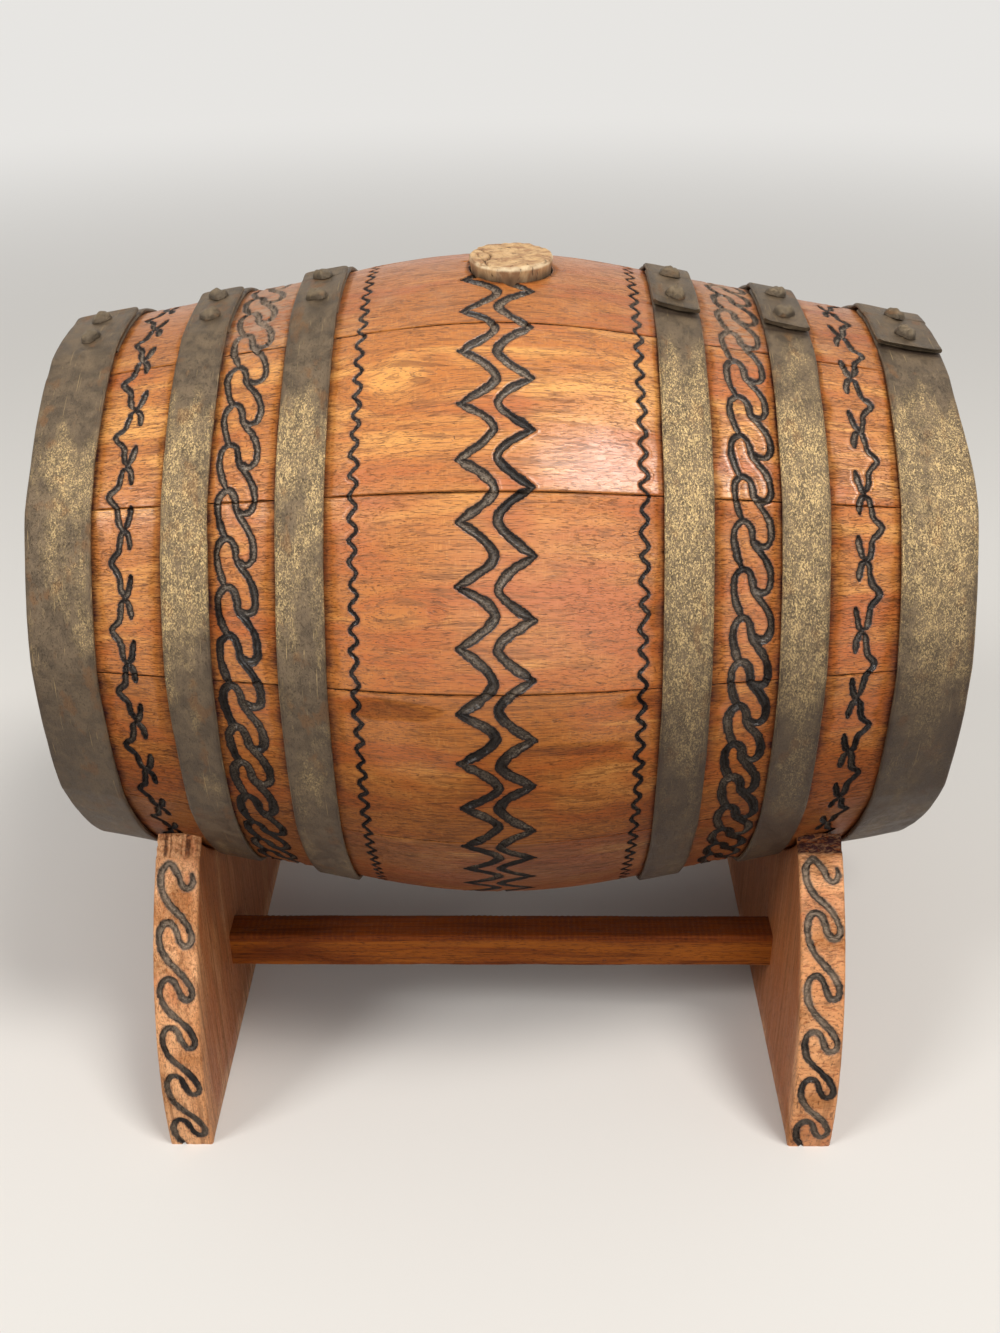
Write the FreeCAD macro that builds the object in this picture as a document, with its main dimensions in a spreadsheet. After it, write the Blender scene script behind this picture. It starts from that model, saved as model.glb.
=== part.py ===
"""Small oak cask with a cork bung and a wooden tap, lying on a cradle of two boards and two rails.

Frame: origin on the table under the middle of the whole part, +Z up, +X along the cask towards
the tap, -Y towards the front.  All lengths are millimetres and all angles degrees.
"""
import FreeCAD
import Part
import Sketcher
import math
import os

SIZES = {
    # cask shell: a rounded middle between two straight, conical flanks
    "cask_length": 200,
    "bilge_radius": 80,
    "nose_radius": 150,
    "flank_angle": 10.6,
    "stave_count": 12,
    "stave_wall": 8,
    "stave_face_radius": 116,
    "stave_flat": 0.9,
    "chime_bevel": 2.5,
    "cask_turn": 6.5,
    "axis_rise": 118.7,
    # heads, each of edge-joined boards whose bevelled rim sits in a groove of the staves
    "head_inset": 9,
    "head_wall": 7,
    "head_board_width": 42,
    "croze_depth": 2.5,
    "croze_width": 3.4,
    "head_fit": 0.1,
    # riveted strip hoops and the bands of bare wood between them, in from each end
    "chime_hoop_width": 15,
    "outer_band": 15.3,
    "quarter_hoop_width": 10.4,
    "inner_band": 14.3,
    "bilge_hoop_width": 10.4,
    "hoop_wall": 1.2,
    "hoop_fit": 0.05,
    "lap_angle": 19.5,
    "lap_turn": 4.8,
    "rivet_spread": 9.5,
    "rivet_radius": 1.3,
    "rivet_fit": 0.05,
    "rivet_head_radius": 2.4,
    "rivet_head_rise": 1.6,
    # bung
    "bung_turn": 3.5,
    "bung_offset": 3.4,
    "bung_top_radius": 9.7,
    "bung_taper": 5.5,
    "bung_proud": 3.4,
    "bung_length": 22,
    "bung_round": 0.8,
    "bung_fit": 0.1,
    # tap
    "tap_rise": 15.4,
    "tap_reach": 20,
    "tap_shank_radius": 5.5,
    "tap_shank_inside": 5,
    "tap_shank_fit": 0.1,
    "tap_collar_radius": 9,
    "tap_collar_wall": 3,
    "tap_barrel_radius": 7.5,
    "tap_nose_round": 2.5,
    "tap_bore_radius": 2,
    "spout_inset": 7,
    "spout_radius": 4.8,
    "spout_length": 15,
    "key_at": 7.5,
    "key_radius": 4,
    "key_taper": 3,
    "key_fit": 0.05,
    "key_foot": 1.5,
    "key_neck_rise": 3,
    "grip_width": 14,
    "grip_depth": 4.6,
    "grip_rise": 9,
    "grip_round": 2,
    # cradle
    "board_clear": 2.6,
    "board_wall": 10.6,
    "board_arc_radius": 88.8,
    "board_arc_reach": 8,
    "board_arc_rise": 10,
    "saddle_fit": 0.3,
    "rail_front": 39.4,
    "rail_depth": 9.1,
    "rail_rise": 22.1,
    "rail_height": 10.5,
    "rail_housing": 5,
    "rail_fit": 0.05,
}

doc = FreeCAD.newDocument("OakCask")
sheet = doc.addObject("Spreadsheet::Sheet", "Sizes")
for row, (alias, size) in enumerate(SIZES.items(), start=1):
    sheet.set(f"A{row}", alias)
    sheet.set(f"B{row}", str(size))
    sheet.setAlias(f"B{row}", alias)
doc.recompute()

stave_count = int(sheet.get("stave_count"))


# ---------------------------------------------------------------- formulas
MIDDLE = "(-Sizes.tap_reach / 2)"
CASK_END = "(Sizes.cask_length / 2)"
FLANK_START = "(Sizes.nose_radius * sin(Sizes.flank_angle))"
FLANK_TOP = "(Sizes.bilge_radius - Sizes.nose_radius * (1 - cos(Sizes.flank_angle)))"
STAVE_ANGLE = "(360 / Sizes.stave_count)"
HEAD_OUTSIDE = f"({CASK_END} - Sizes.head_inset)"
HEAD_INSIDE = f"({HEAD_OUTSIDE} - Sizes.head_wall)"
CROZE_INNER = f"({HEAD_INSIDE} + (Sizes.head_wall - Sizes.croze_width) / 2)"
CROZE_OUTER = f"({CROZE_INNER} + Sizes.croze_width)"
BUNG_TOP = "(Sizes.bilge_radius + Sizes.bung_proud)"
TAP_LENGTH = "(Sizes.head_inset + Sizes.tap_reach)"
SHANK_END = "(-Sizes.head_wall - Sizes.tap_shank_inside)"
SPOUT_AT = f"({TAP_LENGTH} - Sizes.spout_inset)"
KEY_AT = "(Sizes.tap_collar_wall + Sizes.key_at)"
NECK_TOP = "(Sizes.tap_barrel_radius + Sizes.key_neck_rise)"


def outside(at):
    """Radius of the staves' outer face on a flank, at a distance from the mid-plane."""
    return f"({FLANK_TOP} - ({at} - {FLANK_START}) * tan(Sizes.flank_angle))"


def inside(at):
    """Radius of the staves' inner face on a flank."""
    return f"({outside(at)} - Sizes.stave_wall / cos(Sizes.flank_angle))"


def above(at, height):
    """Radius of a surface that lies a height above the staves' outer face."""
    return f"({outside(at)} + {height} / cos(Sizes.flank_angle))"


def bung_radius(height, fit):
    """Radius of the tapered bung, or with a fit of its hole, at a height along its axis."""
    return f"(Sizes.bung_top_radius + {fit} - ({BUNG_TOP} - {height}) * tan(Sizes.bung_taper))"


def key_radius(height, fit):
    """Radius of the tap's tapered key, or with a fit of its socket, at a height above the bore."""
    return f"(Sizes.key_radius + {fit} + {height} * tan(Sizes.key_taper))"


CROZE_BOTTOM = f"({inside(CROZE_INNER)} + Sizes.croze_depth)"
TAP_DROP = f"({inside(HEAD_OUTSIDE)} - Sizes.tap_rise)"
CHIME_HOOP_AT = f"({CASK_END} - Sizes.chime_hoop_width)"
QUARTER_HOOP_AT = f"({CHIME_HOOP_AT} - Sizes.outer_band - Sizes.quarter_hoop_width)"
BILGE_HOOP_AT = f"({QUARTER_HOOP_AT} - Sizes.inner_band - Sizes.bilge_hoop_width)"
BOARD_MIDDLE = f"({CHIME_HOOP_AT} - Sizes.board_clear - Sizes.board_wall / 2)"


# ---------------------------------------------------------------- building blocks
def place(across="0", along="0", up="0", axis="1; 0; 0", turn="0"):
    """Expression of a placement: a shift, after a turn about an axis."""
    return f"placement(vector({across}; {along}; {up}); rotation(vector({axis}); {turn}))"


def in_cask(turn):
    """Expression of the cask's own frame, turned about the cask's axis towards the front."""
    return place(MIDDLE, "0", "Sizes.axis_rise", turn=turn)


def new_body(label, placement):
    body = doc.addObject("PartDesign::Body", label)
    body.Label = label
    body.setExpression("Placement", placement)
    return body


def new_sketch(body, name, plane, offset=None):
    """An empty sketch on one of the body's own origin planes."""
    sketch = body.newObject("Sketcher::SketchObject", name)
    support = next(item for item in body.Origin.OriginFeatures if item.Role == plane)
    sketch.AttachmentSupport = (support, [""])
    sketch.MapMode = "FlatFace"
    if offset:
        sketch.setExpression("AttachmentOffset", offset)
    return sketch


def number(expression):
    return float(sheet.evalExpression(expression))


def bind(sketch, kind, point, name, expression):
    """Hold one coordinate of a point at an expression's value."""
    if expression == "0":
        axis = -2 if kind == "DistanceX" else -1
        sketch.addConstraint(Sketcher.Constraint("PointOnObject", *point, axis))
        return
    rule = Sketcher.Constraint(kind, -1, 1, *point, number(expression))
    sketch.renameConstraint(sketch.addConstraint(rule), name)
    sketch.setExpression(f"Constraints.{name}", expression)


def arc_between(start, end, radius, bulge):
    """Anticlockwise arc of a radius, bulging to the left (1) or right (-1) of start-to-end."""
    chord = end - start
    left = FreeCAD.Vector(-chord.y, chord.x, 0).normalize()
    centre = (start + end) / 2 - left * bulge * math.sqrt(radius ** 2 - chord.Length ** 2 / 4)
    first, last = (end, start) if bulge > 0 else (start, end)
    first_angle = math.atan2(first.y - centre.y, first.x - centre.x)
    last_angle = math.atan2(last.y - centre.y, last.x - centre.x)
    circle = Part.Circle(centre, FreeCAD.Vector(0, 0, 1), radius)
    return Part.ArcOfCircle(circle, first_angle, last_angle)


def draw_outline(sketch, corners, arcs=None):
    """Closed outline through corners, each a pair of expressions.

    arcs gives (radius, bulge) for the side that follows a corner's number.
    """
    arcs = arcs or {}
    points = [FreeCAD.Vector(number(across), number(up), 0) for across, up in corners]
    starts, ends = [], []
    for index, start in enumerate(points):
        end = points[(index + 1) % len(points)]
        if index not in arcs:
            side = sketch.addGeometry(Part.LineSegment(start, end))
            starts.append((side, 1))
            ends.append((side, 2))
            continue
        radius, bulge = arcs[index]
        side = sketch.addGeometry(arc_between(start, end, number(radius), bulge))
        starts.append((side, 2 if bulge > 0 else 1))
        ends.append((side, 1 if bulge > 0 else 2))
        rule = Sketcher.Constraint("Radius", side, number(radius))
        name = f"radius_{index}"
        sketch.renameConstraint(sketch.addConstraint(rule), name)
        sketch.setExpression(f"Constraints.{name}", radius)
    for index, (across, up) in enumerate(corners):
        sketch.addConstraint(Sketcher.Constraint("Coincident", *ends[index - 1], *starts[index]))
        bind(sketch, "DistanceX", starts[index], f"across_{index}", across)
        bind(sketch, "DistanceY", starts[index], f"up_{index}", up)


def outline(body, name, plane, corners, arcs=None, offset=None):
    sketch = new_sketch(body, name, plane, offset)
    draw_outline(sketch, corners, arcs)
    return sketch


def turn_solid(body, sketch, axis="H_Axis", angle=None, cut=False):
    """Revolve a sketch about one of its axes, all round or through an angle centred on it."""
    kind = "PartDesign::Groove" if cut else "PartDesign::Revolution"
    feature = body.newObject(kind, f"{sketch.Name}_turned")
    feature.Profile = sketch
    feature.ReferenceAxis = (sketch, [axis])
    feature.Angle = 360
    if angle:
        feature.Midplane = True
        feature.setExpression("Angle", angle)
    sketch.Visibility = False


def pad_solid(body, sketch, length, cut=False):
    """Extrude a sketch to a length, half to each side of its plane."""
    kind = "PartDesign::Pocket" if cut else "PartDesign::Pad"
    feature = body.newObject(kind, f"{sketch.Name}_padded")
    feature.Profile = sketch
    feature.Midplane = True
    feature.setExpression("Length", length)
    sketch.Visibility = False


def rectangle(left, low, right, high):
    return [(left, low), (right, low), (right, high), (left, high)]


# ---------------------------------------------------------------- cask shell
def stave_section():
    """Lengthwise section of a stave, end to end, with its two head grooves and bevelled ends."""
    inner_start = "((Sizes.nose_radius - Sizes.stave_wall) * sin(Sizes.flank_angle))"
    bevel_start = f"({CASK_END} - Sizes.chime_bevel)"
    right_half = [
        (FLANK_START, FLANK_TOP),
        (CASK_END, outside(CASK_END)),
        (CASK_END, f"({inside(bevel_start)} + Sizes.chime_bevel)"),
        (bevel_start, inside(bevel_start)),
        (CROZE_OUTER, inside(CROZE_OUTER)),
        (CROZE_OUTER, CROZE_BOTTOM),
        (CROZE_INNER, CROZE_BOTTOM),
        (CROZE_INNER, inside(CROZE_INNER)),
        (inner_start, inside(inner_start)),
    ]
    left_half = [(f"-{across}", up) for across, up in reversed(right_half)]
    arcs = {
        len(right_half) - 1: ("(Sizes.nose_radius - Sizes.stave_wall)", -1),
        2 * len(right_half) - 1: ("Sizes.nose_radius", 1),
    }
    return right_half + left_half, arcs


def flatten_face(body):
    """Cut the outer face to the flatter round that each stave has across its width."""
    axis_drop = "(Sizes.stave_face_radius - Sizes.bilge_radius + Sizes.stave_flat)"
    rise = "(Sizes.stave_face_radius - Sizes.bilge_radius)"
    end = f"({CASK_END} + Sizes.chime_bevel)"
    high = "(Sizes.stave_face_radius + Sizes.stave_wall)"
    corners = [
        (FLANK_START, f"({FLANK_TOP} + {rise})"),
        (end, f"({outside(end)} + {rise})"),
        (end, high),
        (f"-{end}", high),
        (f"-{end}", f"({outside(end)} + {rise})"),
        (f"-{FLANK_START}", f"({FLANK_TOP} + {rise})"),
    ]
    arcs = {5: ("Sizes.nose_radius", 1)}
    sketch = outline(body, "face_section", "XZ_Plane", corners, arcs, place("0", f"-{axis_drop}"))
    turn_solid(body, sketch, angle=STAVE_ANGLE, cut=True)


def cut_bung_hole(body):
    low = "(Sizes.bilge_radius - 2 * Sizes.stave_wall)"
    corners = [
        ("0", low),
        (bung_radius(low, "Sizes.bung_fit"), low),
        (bung_radius(BUNG_TOP, "Sizes.bung_fit"), BUNG_TOP),
        ("0", BUNG_TOP),
    ]
    offset = place("Sizes.bung_offset", turn="Sizes.bung_turn - Sizes.cask_turn")
    sketch = outline(body, "bung_hole", "XZ_Plane", corners, offset=offset)
    turn_solid(body, sketch, "V_Axis", cut=True)


def make_stave(index):
    """One stave; the first carries the bung, and the rest follow over the front."""
    turn = f"Sizes.cask_turn + {index} * {STAVE_ANGLE}"
    body = new_body(f"stave_{index + 1:02d}", in_cask(turn))
    corners, arcs = stave_section()
    sketch = outline(body, "stave_section", "XZ_Plane", corners, arcs)
    turn_solid(body, sketch, angle=STAVE_ANGLE)
    flatten_face(body)
    if index == 0:
        cut_bung_hole(body)
    return body


# ---------------------------------------------------------------- heads
def head_section(side):
    """Half section of a head: a disc whose bevelled rim ends in a tongue."""
    shoulder = f"({inside(CROZE_OUTER)} - Sizes.head_fit)"
    face = f"({shoulder} - (Sizes.head_wall - Sizes.croze_width) / 2)"
    rim = f"({CROZE_BOTTOM} - Sizes.head_fit)"
    tongue_inner = f"({CROZE_INNER} + Sizes.head_fit)"
    tongue_outer = f"({CROZE_OUTER} - Sizes.head_fit)"
    corners = [
        (HEAD_INSIDE, "0"),
        (HEAD_INSIDE, face),
        (tongue_inner, shoulder),
        (tongue_inner, rim),
        (tongue_outer, rim),
        (tongue_outer, shoulder),
        (HEAD_OUTSIDE, face),
        (HEAD_OUTSIDE, "0"),
    ]
    return [(f"{side} * {across}", up) for across, up in corners]


def cut_tap_hole(body):
    radius = "(Sizes.tap_shank_radius + Sizes.tap_shank_fit)"
    offset = place("0", f"-{TAP_DROP}")
    corners = rectangle("0", "0", CASK_END, radius)
    sketch = outline(body, "tap_hole", "XZ_Plane", corners, offset=offset)
    turn_solid(body, sketch, cut=True)


def make_head_board(side_name, side, part_name, part):
    """One of the three boards of a head: front (-1), middle (0) or rear (1)."""
    body = new_body(f"{side_name}_head_{part_name}_board", in_cask("Sizes.cask_turn"))
    sketch = outline(body, "head_section", "XZ_Plane", head_section(side))
    turn_solid(body, sketch)
    joint = "(Sizes.head_board_width / 2)"
    reach = "Sizes.bilge_radius"
    away = {
        -1: [(f"-{joint}", reach)],
        0: [(f"-{reach}", f"-{joint}"), (joint, reach)],
        1: [(f"-{reach}", joint)],
    }
    for number_of_cut, (start, end) in enumerate(away[part]):
        corners = rectangle(start, f"-{reach}", end, reach)
        trim = outline(body, f"trim_{number_of_cut}", "YZ_Plane", corners)
        pad_solid(body, trim, "Sizes.cask_length", cut=True)
    if part == 0 and side > 0:
        cut_tap_hole(body)
    return body


# ---------------------------------------------------------------- hoops
def rivet_turns():
    return ["(-Sizes.rivet_spread / 2)", "(Sizes.rivet_spread / 2)"]


def rivet_axis_in_sketch(side, middle, turn):
    """Sketch offset that stands on the flank at a rivet: across is along the strip's width."""
    lean = place(f"{side} * {middle}", outside(middle), "0", "0; 0; 1", f"-{side} * Sizes.flank_angle")
    return f"{place(turn=turn)} * {lean}"


def make_hoop(side_name, side, hoop_name, start, width):
    """A strip bent round the cask, its ends lapped near the top and drilled for two rivets."""
    end = f"({start} + {width})"
    middle = f"({start} + {width} / 2)"
    body = new_body(f"{side_name}_{hoop_name}_hoop", in_cask("Sizes.lap_turn"))
    low = "Sizes.hoop_fit"
    layer = "(Sizes.hoop_fit + Sizes.hoop_wall)"
    top = "(Sizes.hoop_fit + 2 * Sizes.hoop_wall)"
    for name, bottom_height, top_height, angle in (
        ("strip", low, layer, None),
        ("lap", layer, top, "Sizes.lap_angle"),
    ):
        corners = [
            (f"{side} * {start}", above(start, bottom_height)),
            (f"{side} * {end}", above(end, bottom_height)),
            (f"{side} * {end}", above(end, top_height)),
            (f"{side} * {start}", above(start, top_height)),
        ]
        turn_solid(body, outline(body, name, "XZ_Plane", corners), angle=angle)
    hole = rectangle("0", "-Sizes.hoop_wall", "(Sizes.rivet_radius + Sizes.rivet_fit)",
                     "(4 * Sizes.hoop_wall)")
    for count, turn in enumerate(rivet_turns()):
        offset = rivet_axis_in_sketch(side, middle, turn)
        sketch = outline(body, f"rivet_hole_{count}", "XZ_Plane", hole, offset=offset)
        turn_solid(body, sketch, "V_Axis", cut=True)
    return body


def make_rivets(side_name, side, hoop_name, start, width):
    """The two domed rivets of a hoop's lap."""
    middle = f"({start} + {width} / 2)"
    top = "(Sizes.hoop_fit + 2 * Sizes.hoop_wall)"
    crown = "((Sizes.rivet_head_radius ^ 2 + Sizes.rivet_head_rise ^ 2) / (2 * Sizes.rivet_head_rise))"
    corners = [
        ("0", "Sizes.hoop_fit"),
        ("Sizes.rivet_radius", "Sizes.hoop_fit"),
        ("Sizes.rivet_radius", top),
        ("Sizes.rivet_head_radius", top),
        ("0", f"({top} + Sizes.rivet_head_rise)"),
    ]
    rivets = []
    for count, turn in enumerate(rivet_turns()):
        lean = place(f"{side} * {middle}", "0", outside(middle), "0; 1; 0",
                     f"{side} * Sizes.flank_angle")
        placement = f"{in_cask(f'Sizes.lap_turn + {turn}')} * {lean}"
        body = new_body(f"{side_name}_{hoop_name}_rivet_{count}", placement)
        sketch = outline(body, "rivet_section", "XZ_Plane", corners, {3: (crown, -1)})
        turn_solid(body, sketch, "V_Axis")
        rivets.append(body)
    group = doc.addObject("Part::Compound", f"{side_name}_{hoop_name}_rivets")
    group.Links = rivets
    return group


# ---------------------------------------------------------------- bung and tap
def make_bung():
    placement = f"{in_cask('Sizes.bung_turn')} * {place('Sizes.bung_offset')}"
    body = new_body("cork_bung", placement)
    bottom = f"({BUNG_TOP} - Sizes.bung_length)"
    shoulder = f"({BUNG_TOP} - Sizes.bung_round)"
    corners = [
        ("0", bottom),
        (bung_radius(bottom, "0"), bottom),
        (bung_radius(shoulder, "0"), shoulder),
        ("(Sizes.bung_top_radius - Sizes.bung_round)", BUNG_TOP),
        ("0", BUNG_TOP),
    ]
    turn_solid(body, outline(body, "bung_section", "XZ_Plane", corners), "V_Axis")
    return body


def in_tap(across):
    """Expression of a frame on the tap's axis, at a distance outside the head."""
    shift = place(f"({HEAD_OUTSIDE} + {across})", "0", f"-{TAP_DROP}")
    return f"{in_cask('Sizes.cask_turn')} * {shift}"


def make_tap_body():
    """Turned shank, collar and barrel with a downward spout, bored through, with the key's socket."""
    body = new_body("tap_body", in_tap("0"))
    barrel = "Sizes.tap_barrel_radius"
    corners = [
        (SHANK_END, "0"),
        (SHANK_END, "Sizes.tap_shank_radius"),
        ("0", "Sizes.tap_shank_radius"),
        ("0", "Sizes.tap_collar_radius"),
        ("Sizes.tap_collar_wall", "Sizes.tap_collar_radius"),
        ("Sizes.tap_collar_wall", barrel),
        (f"({TAP_LENGTH} - Sizes.tap_nose_round)", barrel),
        (TAP_LENGTH, f"({barrel} - Sizes.tap_nose_round)"),
        (TAP_LENGTH, "0"),
    ]
    section = outline(body, "tap_section", "XZ_Plane", corners, {6: ("Sizes.tap_nose_round", 1)})
    turn_solid(body, section)
    at_spout = place(SPOUT_AT)
    spout = rectangle("0", "-Sizes.spout_length", "Sizes.spout_radius", "0")
    turn_solid(body, outline(body, "spout", "XZ_Plane", spout, offset=at_spout), "V_Axis")
    bore = rectangle(SHANK_END, "0", f"({SPOUT_AT} + Sizes.tap_bore_radius)", "Sizes.tap_bore_radius")
    turn_solid(body, outline(body, "bore", "XZ_Plane", bore), cut=True)
    drop = rectangle("0", "-Sizes.spout_length", "Sizes.tap_bore_radius", "0")
    turn_solid(body, outline(body, "spout_bore", "XZ_Plane", drop, offset=at_spout), "V_Axis", cut=True)
    low = f"(-{NECK_TOP})"
    socket = [
        ("0", low),
        (key_radius(low, "Sizes.key_fit"), low),
        (key_radius(NECK_TOP, "Sizes.key_fit"), NECK_TOP),
        ("0", NECK_TOP),
    ]
    sketch = outline(body, "key_socket", "XZ_Plane", socket, offset=place(KEY_AT))
    turn_solid(body, sketch, "V_Axis", cut=True)
    return body


def make_tap_key():
    """Tapered key with a cross grip; its port lies across the bore while the tap is shut."""
    body = new_body("tap_key", in_tap(KEY_AT))
    foot = "(-Sizes.tap_barrel_radius - Sizes.key_foot)"
    plug = [
        ("0", foot),
        (key_radius(foot, "0"), foot),
        (key_radius(NECK_TOP, "0"), NECK_TOP),
        ("0", NECK_TOP),
    ]
    turn_solid(body, outline(body, "plug", "XZ_Plane", plug), "V_Axis")
    edge = "(Sizes.grip_width / 2)"
    grip_top = f"({NECK_TOP} + Sizes.grip_rise)"
    shoulder = f"({grip_top} - Sizes.grip_round)"
    inner = f"({edge} - Sizes.grip_round)"
    grip = [
        (f"-{edge}", NECK_TOP),
        (edge, NECK_TOP),
        (edge, shoulder),
        (inner, grip_top),
        (f"-{inner}", grip_top),
        (f"-{edge}", shoulder),
    ]
    rounds = {2: ("Sizes.grip_round", -1), 4: ("Sizes.grip_round", -1)}
    pad_solid(body, outline(body, "grip", "YZ_Plane", grip, rounds), "Sizes.grip_depth")
    reach = "Sizes.tap_collar_radius"
    port = rectangle(f"-{reach}", "0", reach, "Sizes.tap_bore_radius")
    turn_solid(body, outline(body, "port", "YZ_Plane", port), cut=True)
    return body


# ---------------------------------------------------------------- cradle
def rail_bounds(row, fit):
    """Rectangle of a rail's section in the front (-1) or rear (1) row, grown by a fit."""
    face = "Sizes.rail_front"
    back = "(Sizes.rail_front - Sizes.rail_depth)"
    near, far = (f"(-{face} - {fit})", f"(-{back} + {fit})") if row < 0 else (
        f"({back} - {fit})", f"({face} + {fit})")
    low = f"(Sizes.rail_rise - {fit})"
    high = f"(Sizes.rail_rise + Sizes.rail_height + {fit})"
    return rectangle(near, low, far, high)


def make_cradle_board(side_name, side):
    """Half-moon board with bulging edges, a conical saddle for the cask and two rail housings."""
    placement = place(f"({MIDDLE} + {side} * {BOARD_MIDDLE})")
    body = new_body(f"{side_name}_cradle_board", placement)
    radius = "Sizes.board_arc_radius"
    foot = f"(sqrt({radius} ^ 2 - Sizes.board_arc_rise ^ 2) - Sizes.board_arc_reach)"
    peak = f"(Sizes.board_arc_rise + sqrt({radius} ^ 2 - Sizes.board_arc_reach ^ 2))"
    corners = [(f"-{foot}", "0"), (foot, "0"), ("0", peak)]
    arcs = {1: (radius, -1), 2: (radius, -1)}
    pad_solid(body, outline(body, "board", "YZ_Plane", corners, arcs), "Sizes.board_wall")
    near = f"({BOARD_MIDDLE} - Sizes.board_wall)"
    far = f"({BOARD_MIDDLE} + Sizes.board_wall)"
    saddle = [
        (f"(-{side} * Sizes.board_wall)", "0"),
        (f"({side} * Sizes.board_wall)", "0"),
        (f"({side} * Sizes.board_wall)", above(far, "Sizes.saddle_fit")),
        (f"(-{side} * Sizes.board_wall)", above(near, "Sizes.saddle_fit")),
    ]
    lift = place("0", "Sizes.axis_rise", "0")
    turn_solid(body, outline(body, "saddle", "XZ_Plane", saddle, offset=lift), cut=True)
    inner_face = place("0", "0", f"(-{side} * Sizes.board_wall / 2)")
    for row_name, row in (("front", -1), ("rear", 1)):
        corners = rail_bounds(row, "Sizes.rail_fit")
        sketch = outline(body, f"{row_name}_housing", "YZ_Plane", corners, offset=inner_face)
        pad_solid(body, sketch, "(2 * Sizes.rail_housing)", cut=True)
    return body


def make_rail(row_name, row):
    body = new_body(f"{row_name}_rail", place(MIDDLE))
    sketch = outline(body, "rail_section", "YZ_Plane", rail_bounds(row, "0"))
    pad_solid(body, sketch, f"(2 * {BOARD_MIDDLE} - Sizes.board_wall + 2 * Sizes.rail_housing)")
    return body


# ---------------------------------------------------------------- the whole part
SIDES = (("left", -1), ("right", 1))
HEAD_BOARDS = (("front", -1), ("middle", 0), ("rear", 1))
HOOPS = (
    ("bilge", BILGE_HOOP_AT, "Sizes.bilge_hoop_width"),
    ("quarter", QUARTER_HOOP_AT, "Sizes.quarter_hoop_width"),
    ("chime", CHIME_HOOP_AT, "Sizes.chime_hoop_width"),
)

pieces = [make_stave(index) for index in range(stave_count)]
for side_name, side in SIDES:
    for part_name, part in HEAD_BOARDS:
        pieces.append(make_head_board(side_name, side, part_name, part))
    for hoop_name, start, width in HOOPS:
        pieces.append(make_hoop(side_name, side, hoop_name, start, width))
        pieces.append(make_rivets(side_name, side, hoop_name, start, width))
    pieces.append(make_cradle_board(side_name, side))
for row_name, row in (("front", -1), ("rear", 1)):
    pieces.append(make_rail(row_name, row))
pieces.append(make_bung())
pieces.append(make_tap_body())
pieces.append(make_tap_key())
doc.recompute()

failed = [item.Label for item in doc.Objects if {"Invalid", "Error"} & set(item.State)]
for piece in pieces:
    if piece.Shape.isNull() or not piece.Shape.isValid():
        failed.append(piece.Label)
if failed:
    raise RuntimeError("not built: " + ", ".join(failed))

os.makedirs("parts", exist_ok=True)
for piece in pieces:
    piece.Shape.exportStep(f"parts/{piece.Label}.step")
    print(f"{piece.Label}: {len(piece.Shape.Solids)} solid(s), {piece.Shape.Volume:.0f} mm3")
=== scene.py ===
"""Looks of the small oak cask: carved staves, riveted bronze hoops, cork bung, wooden tap and cradle.

The frame is the CAD's: origin on the table, +X along the cask towards the tap, -Y to the front.
Lengths below are millimetres, which new_solid turns into metres.  A turn is an angle in degrees
about the cask's axis, 0 at the top and growing over the front; "along" is measured on that axis
from the middle of the cask.
"""

import math

import bmesh
import bpy
import numpy as np
from mathutils import Matrix, Vector


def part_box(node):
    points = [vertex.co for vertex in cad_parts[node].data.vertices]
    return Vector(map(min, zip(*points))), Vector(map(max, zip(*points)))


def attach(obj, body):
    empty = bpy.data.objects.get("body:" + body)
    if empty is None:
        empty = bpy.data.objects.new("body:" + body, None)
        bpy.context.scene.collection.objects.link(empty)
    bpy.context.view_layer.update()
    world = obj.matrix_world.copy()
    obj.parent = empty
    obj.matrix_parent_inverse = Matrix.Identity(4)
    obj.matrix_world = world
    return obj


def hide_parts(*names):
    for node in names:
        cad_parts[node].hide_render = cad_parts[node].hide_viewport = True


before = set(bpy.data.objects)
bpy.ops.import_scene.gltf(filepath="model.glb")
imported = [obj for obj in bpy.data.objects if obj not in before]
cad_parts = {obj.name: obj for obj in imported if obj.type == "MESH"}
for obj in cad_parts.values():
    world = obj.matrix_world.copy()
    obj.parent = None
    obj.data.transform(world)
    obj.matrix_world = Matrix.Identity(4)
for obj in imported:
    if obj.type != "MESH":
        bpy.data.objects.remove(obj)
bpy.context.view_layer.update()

MM = 0.001

# ---------------------------------------------------------------- driving sizes, as in the CAD
# lengths in millimetres; turns and the lap's and rivets' angles in degrees
BILGE_RADIUS = 80
NOSE_RADIUS = 150
FLANK = math.radians(10.6)
STAVE_COUNT = 12
STAVE_WALL = 8
CHIME_BEVEL = 2.5
CASK_TURN = 6.5
AXIS_RISE = 118.7
HEAD_INSET = 9
HEAD_WALL = 7
HEAD_BOARD_WIDTH = 42
HOOP_WALL = 1.2
HOOP_FIT = 0.05
LAP_TURN = 4.8
LAP_ANGLE = 19.5
RIVET_SPREAD = 9.5
BUNG_TURN = 3.5
BUNG_OFFSET = 3.4
BUNG_TOP_RADIUS = 9.7
BUNG_TAPER = math.radians(5.5)
BUNG_PROUD = 3.4
BUNG_LENGTH = 22
BUNG_FIT = 0.1
TAP_RISE = 15.4
SPOUT_INSET = 7
KEY_AT = 7.5
BOARD_ARC_RADIUS = 88.8
BOARD_ARC_REACH = 8
BOARD_ARC_RISE = 10
SADDLE_FIT = 0.3


def span(node, axis):
    """Lowest and highest coordinate of a CAD node on an axis, in millimetres."""
    low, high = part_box(node)
    return low[axis] / MM, high[axis] / MM


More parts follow.
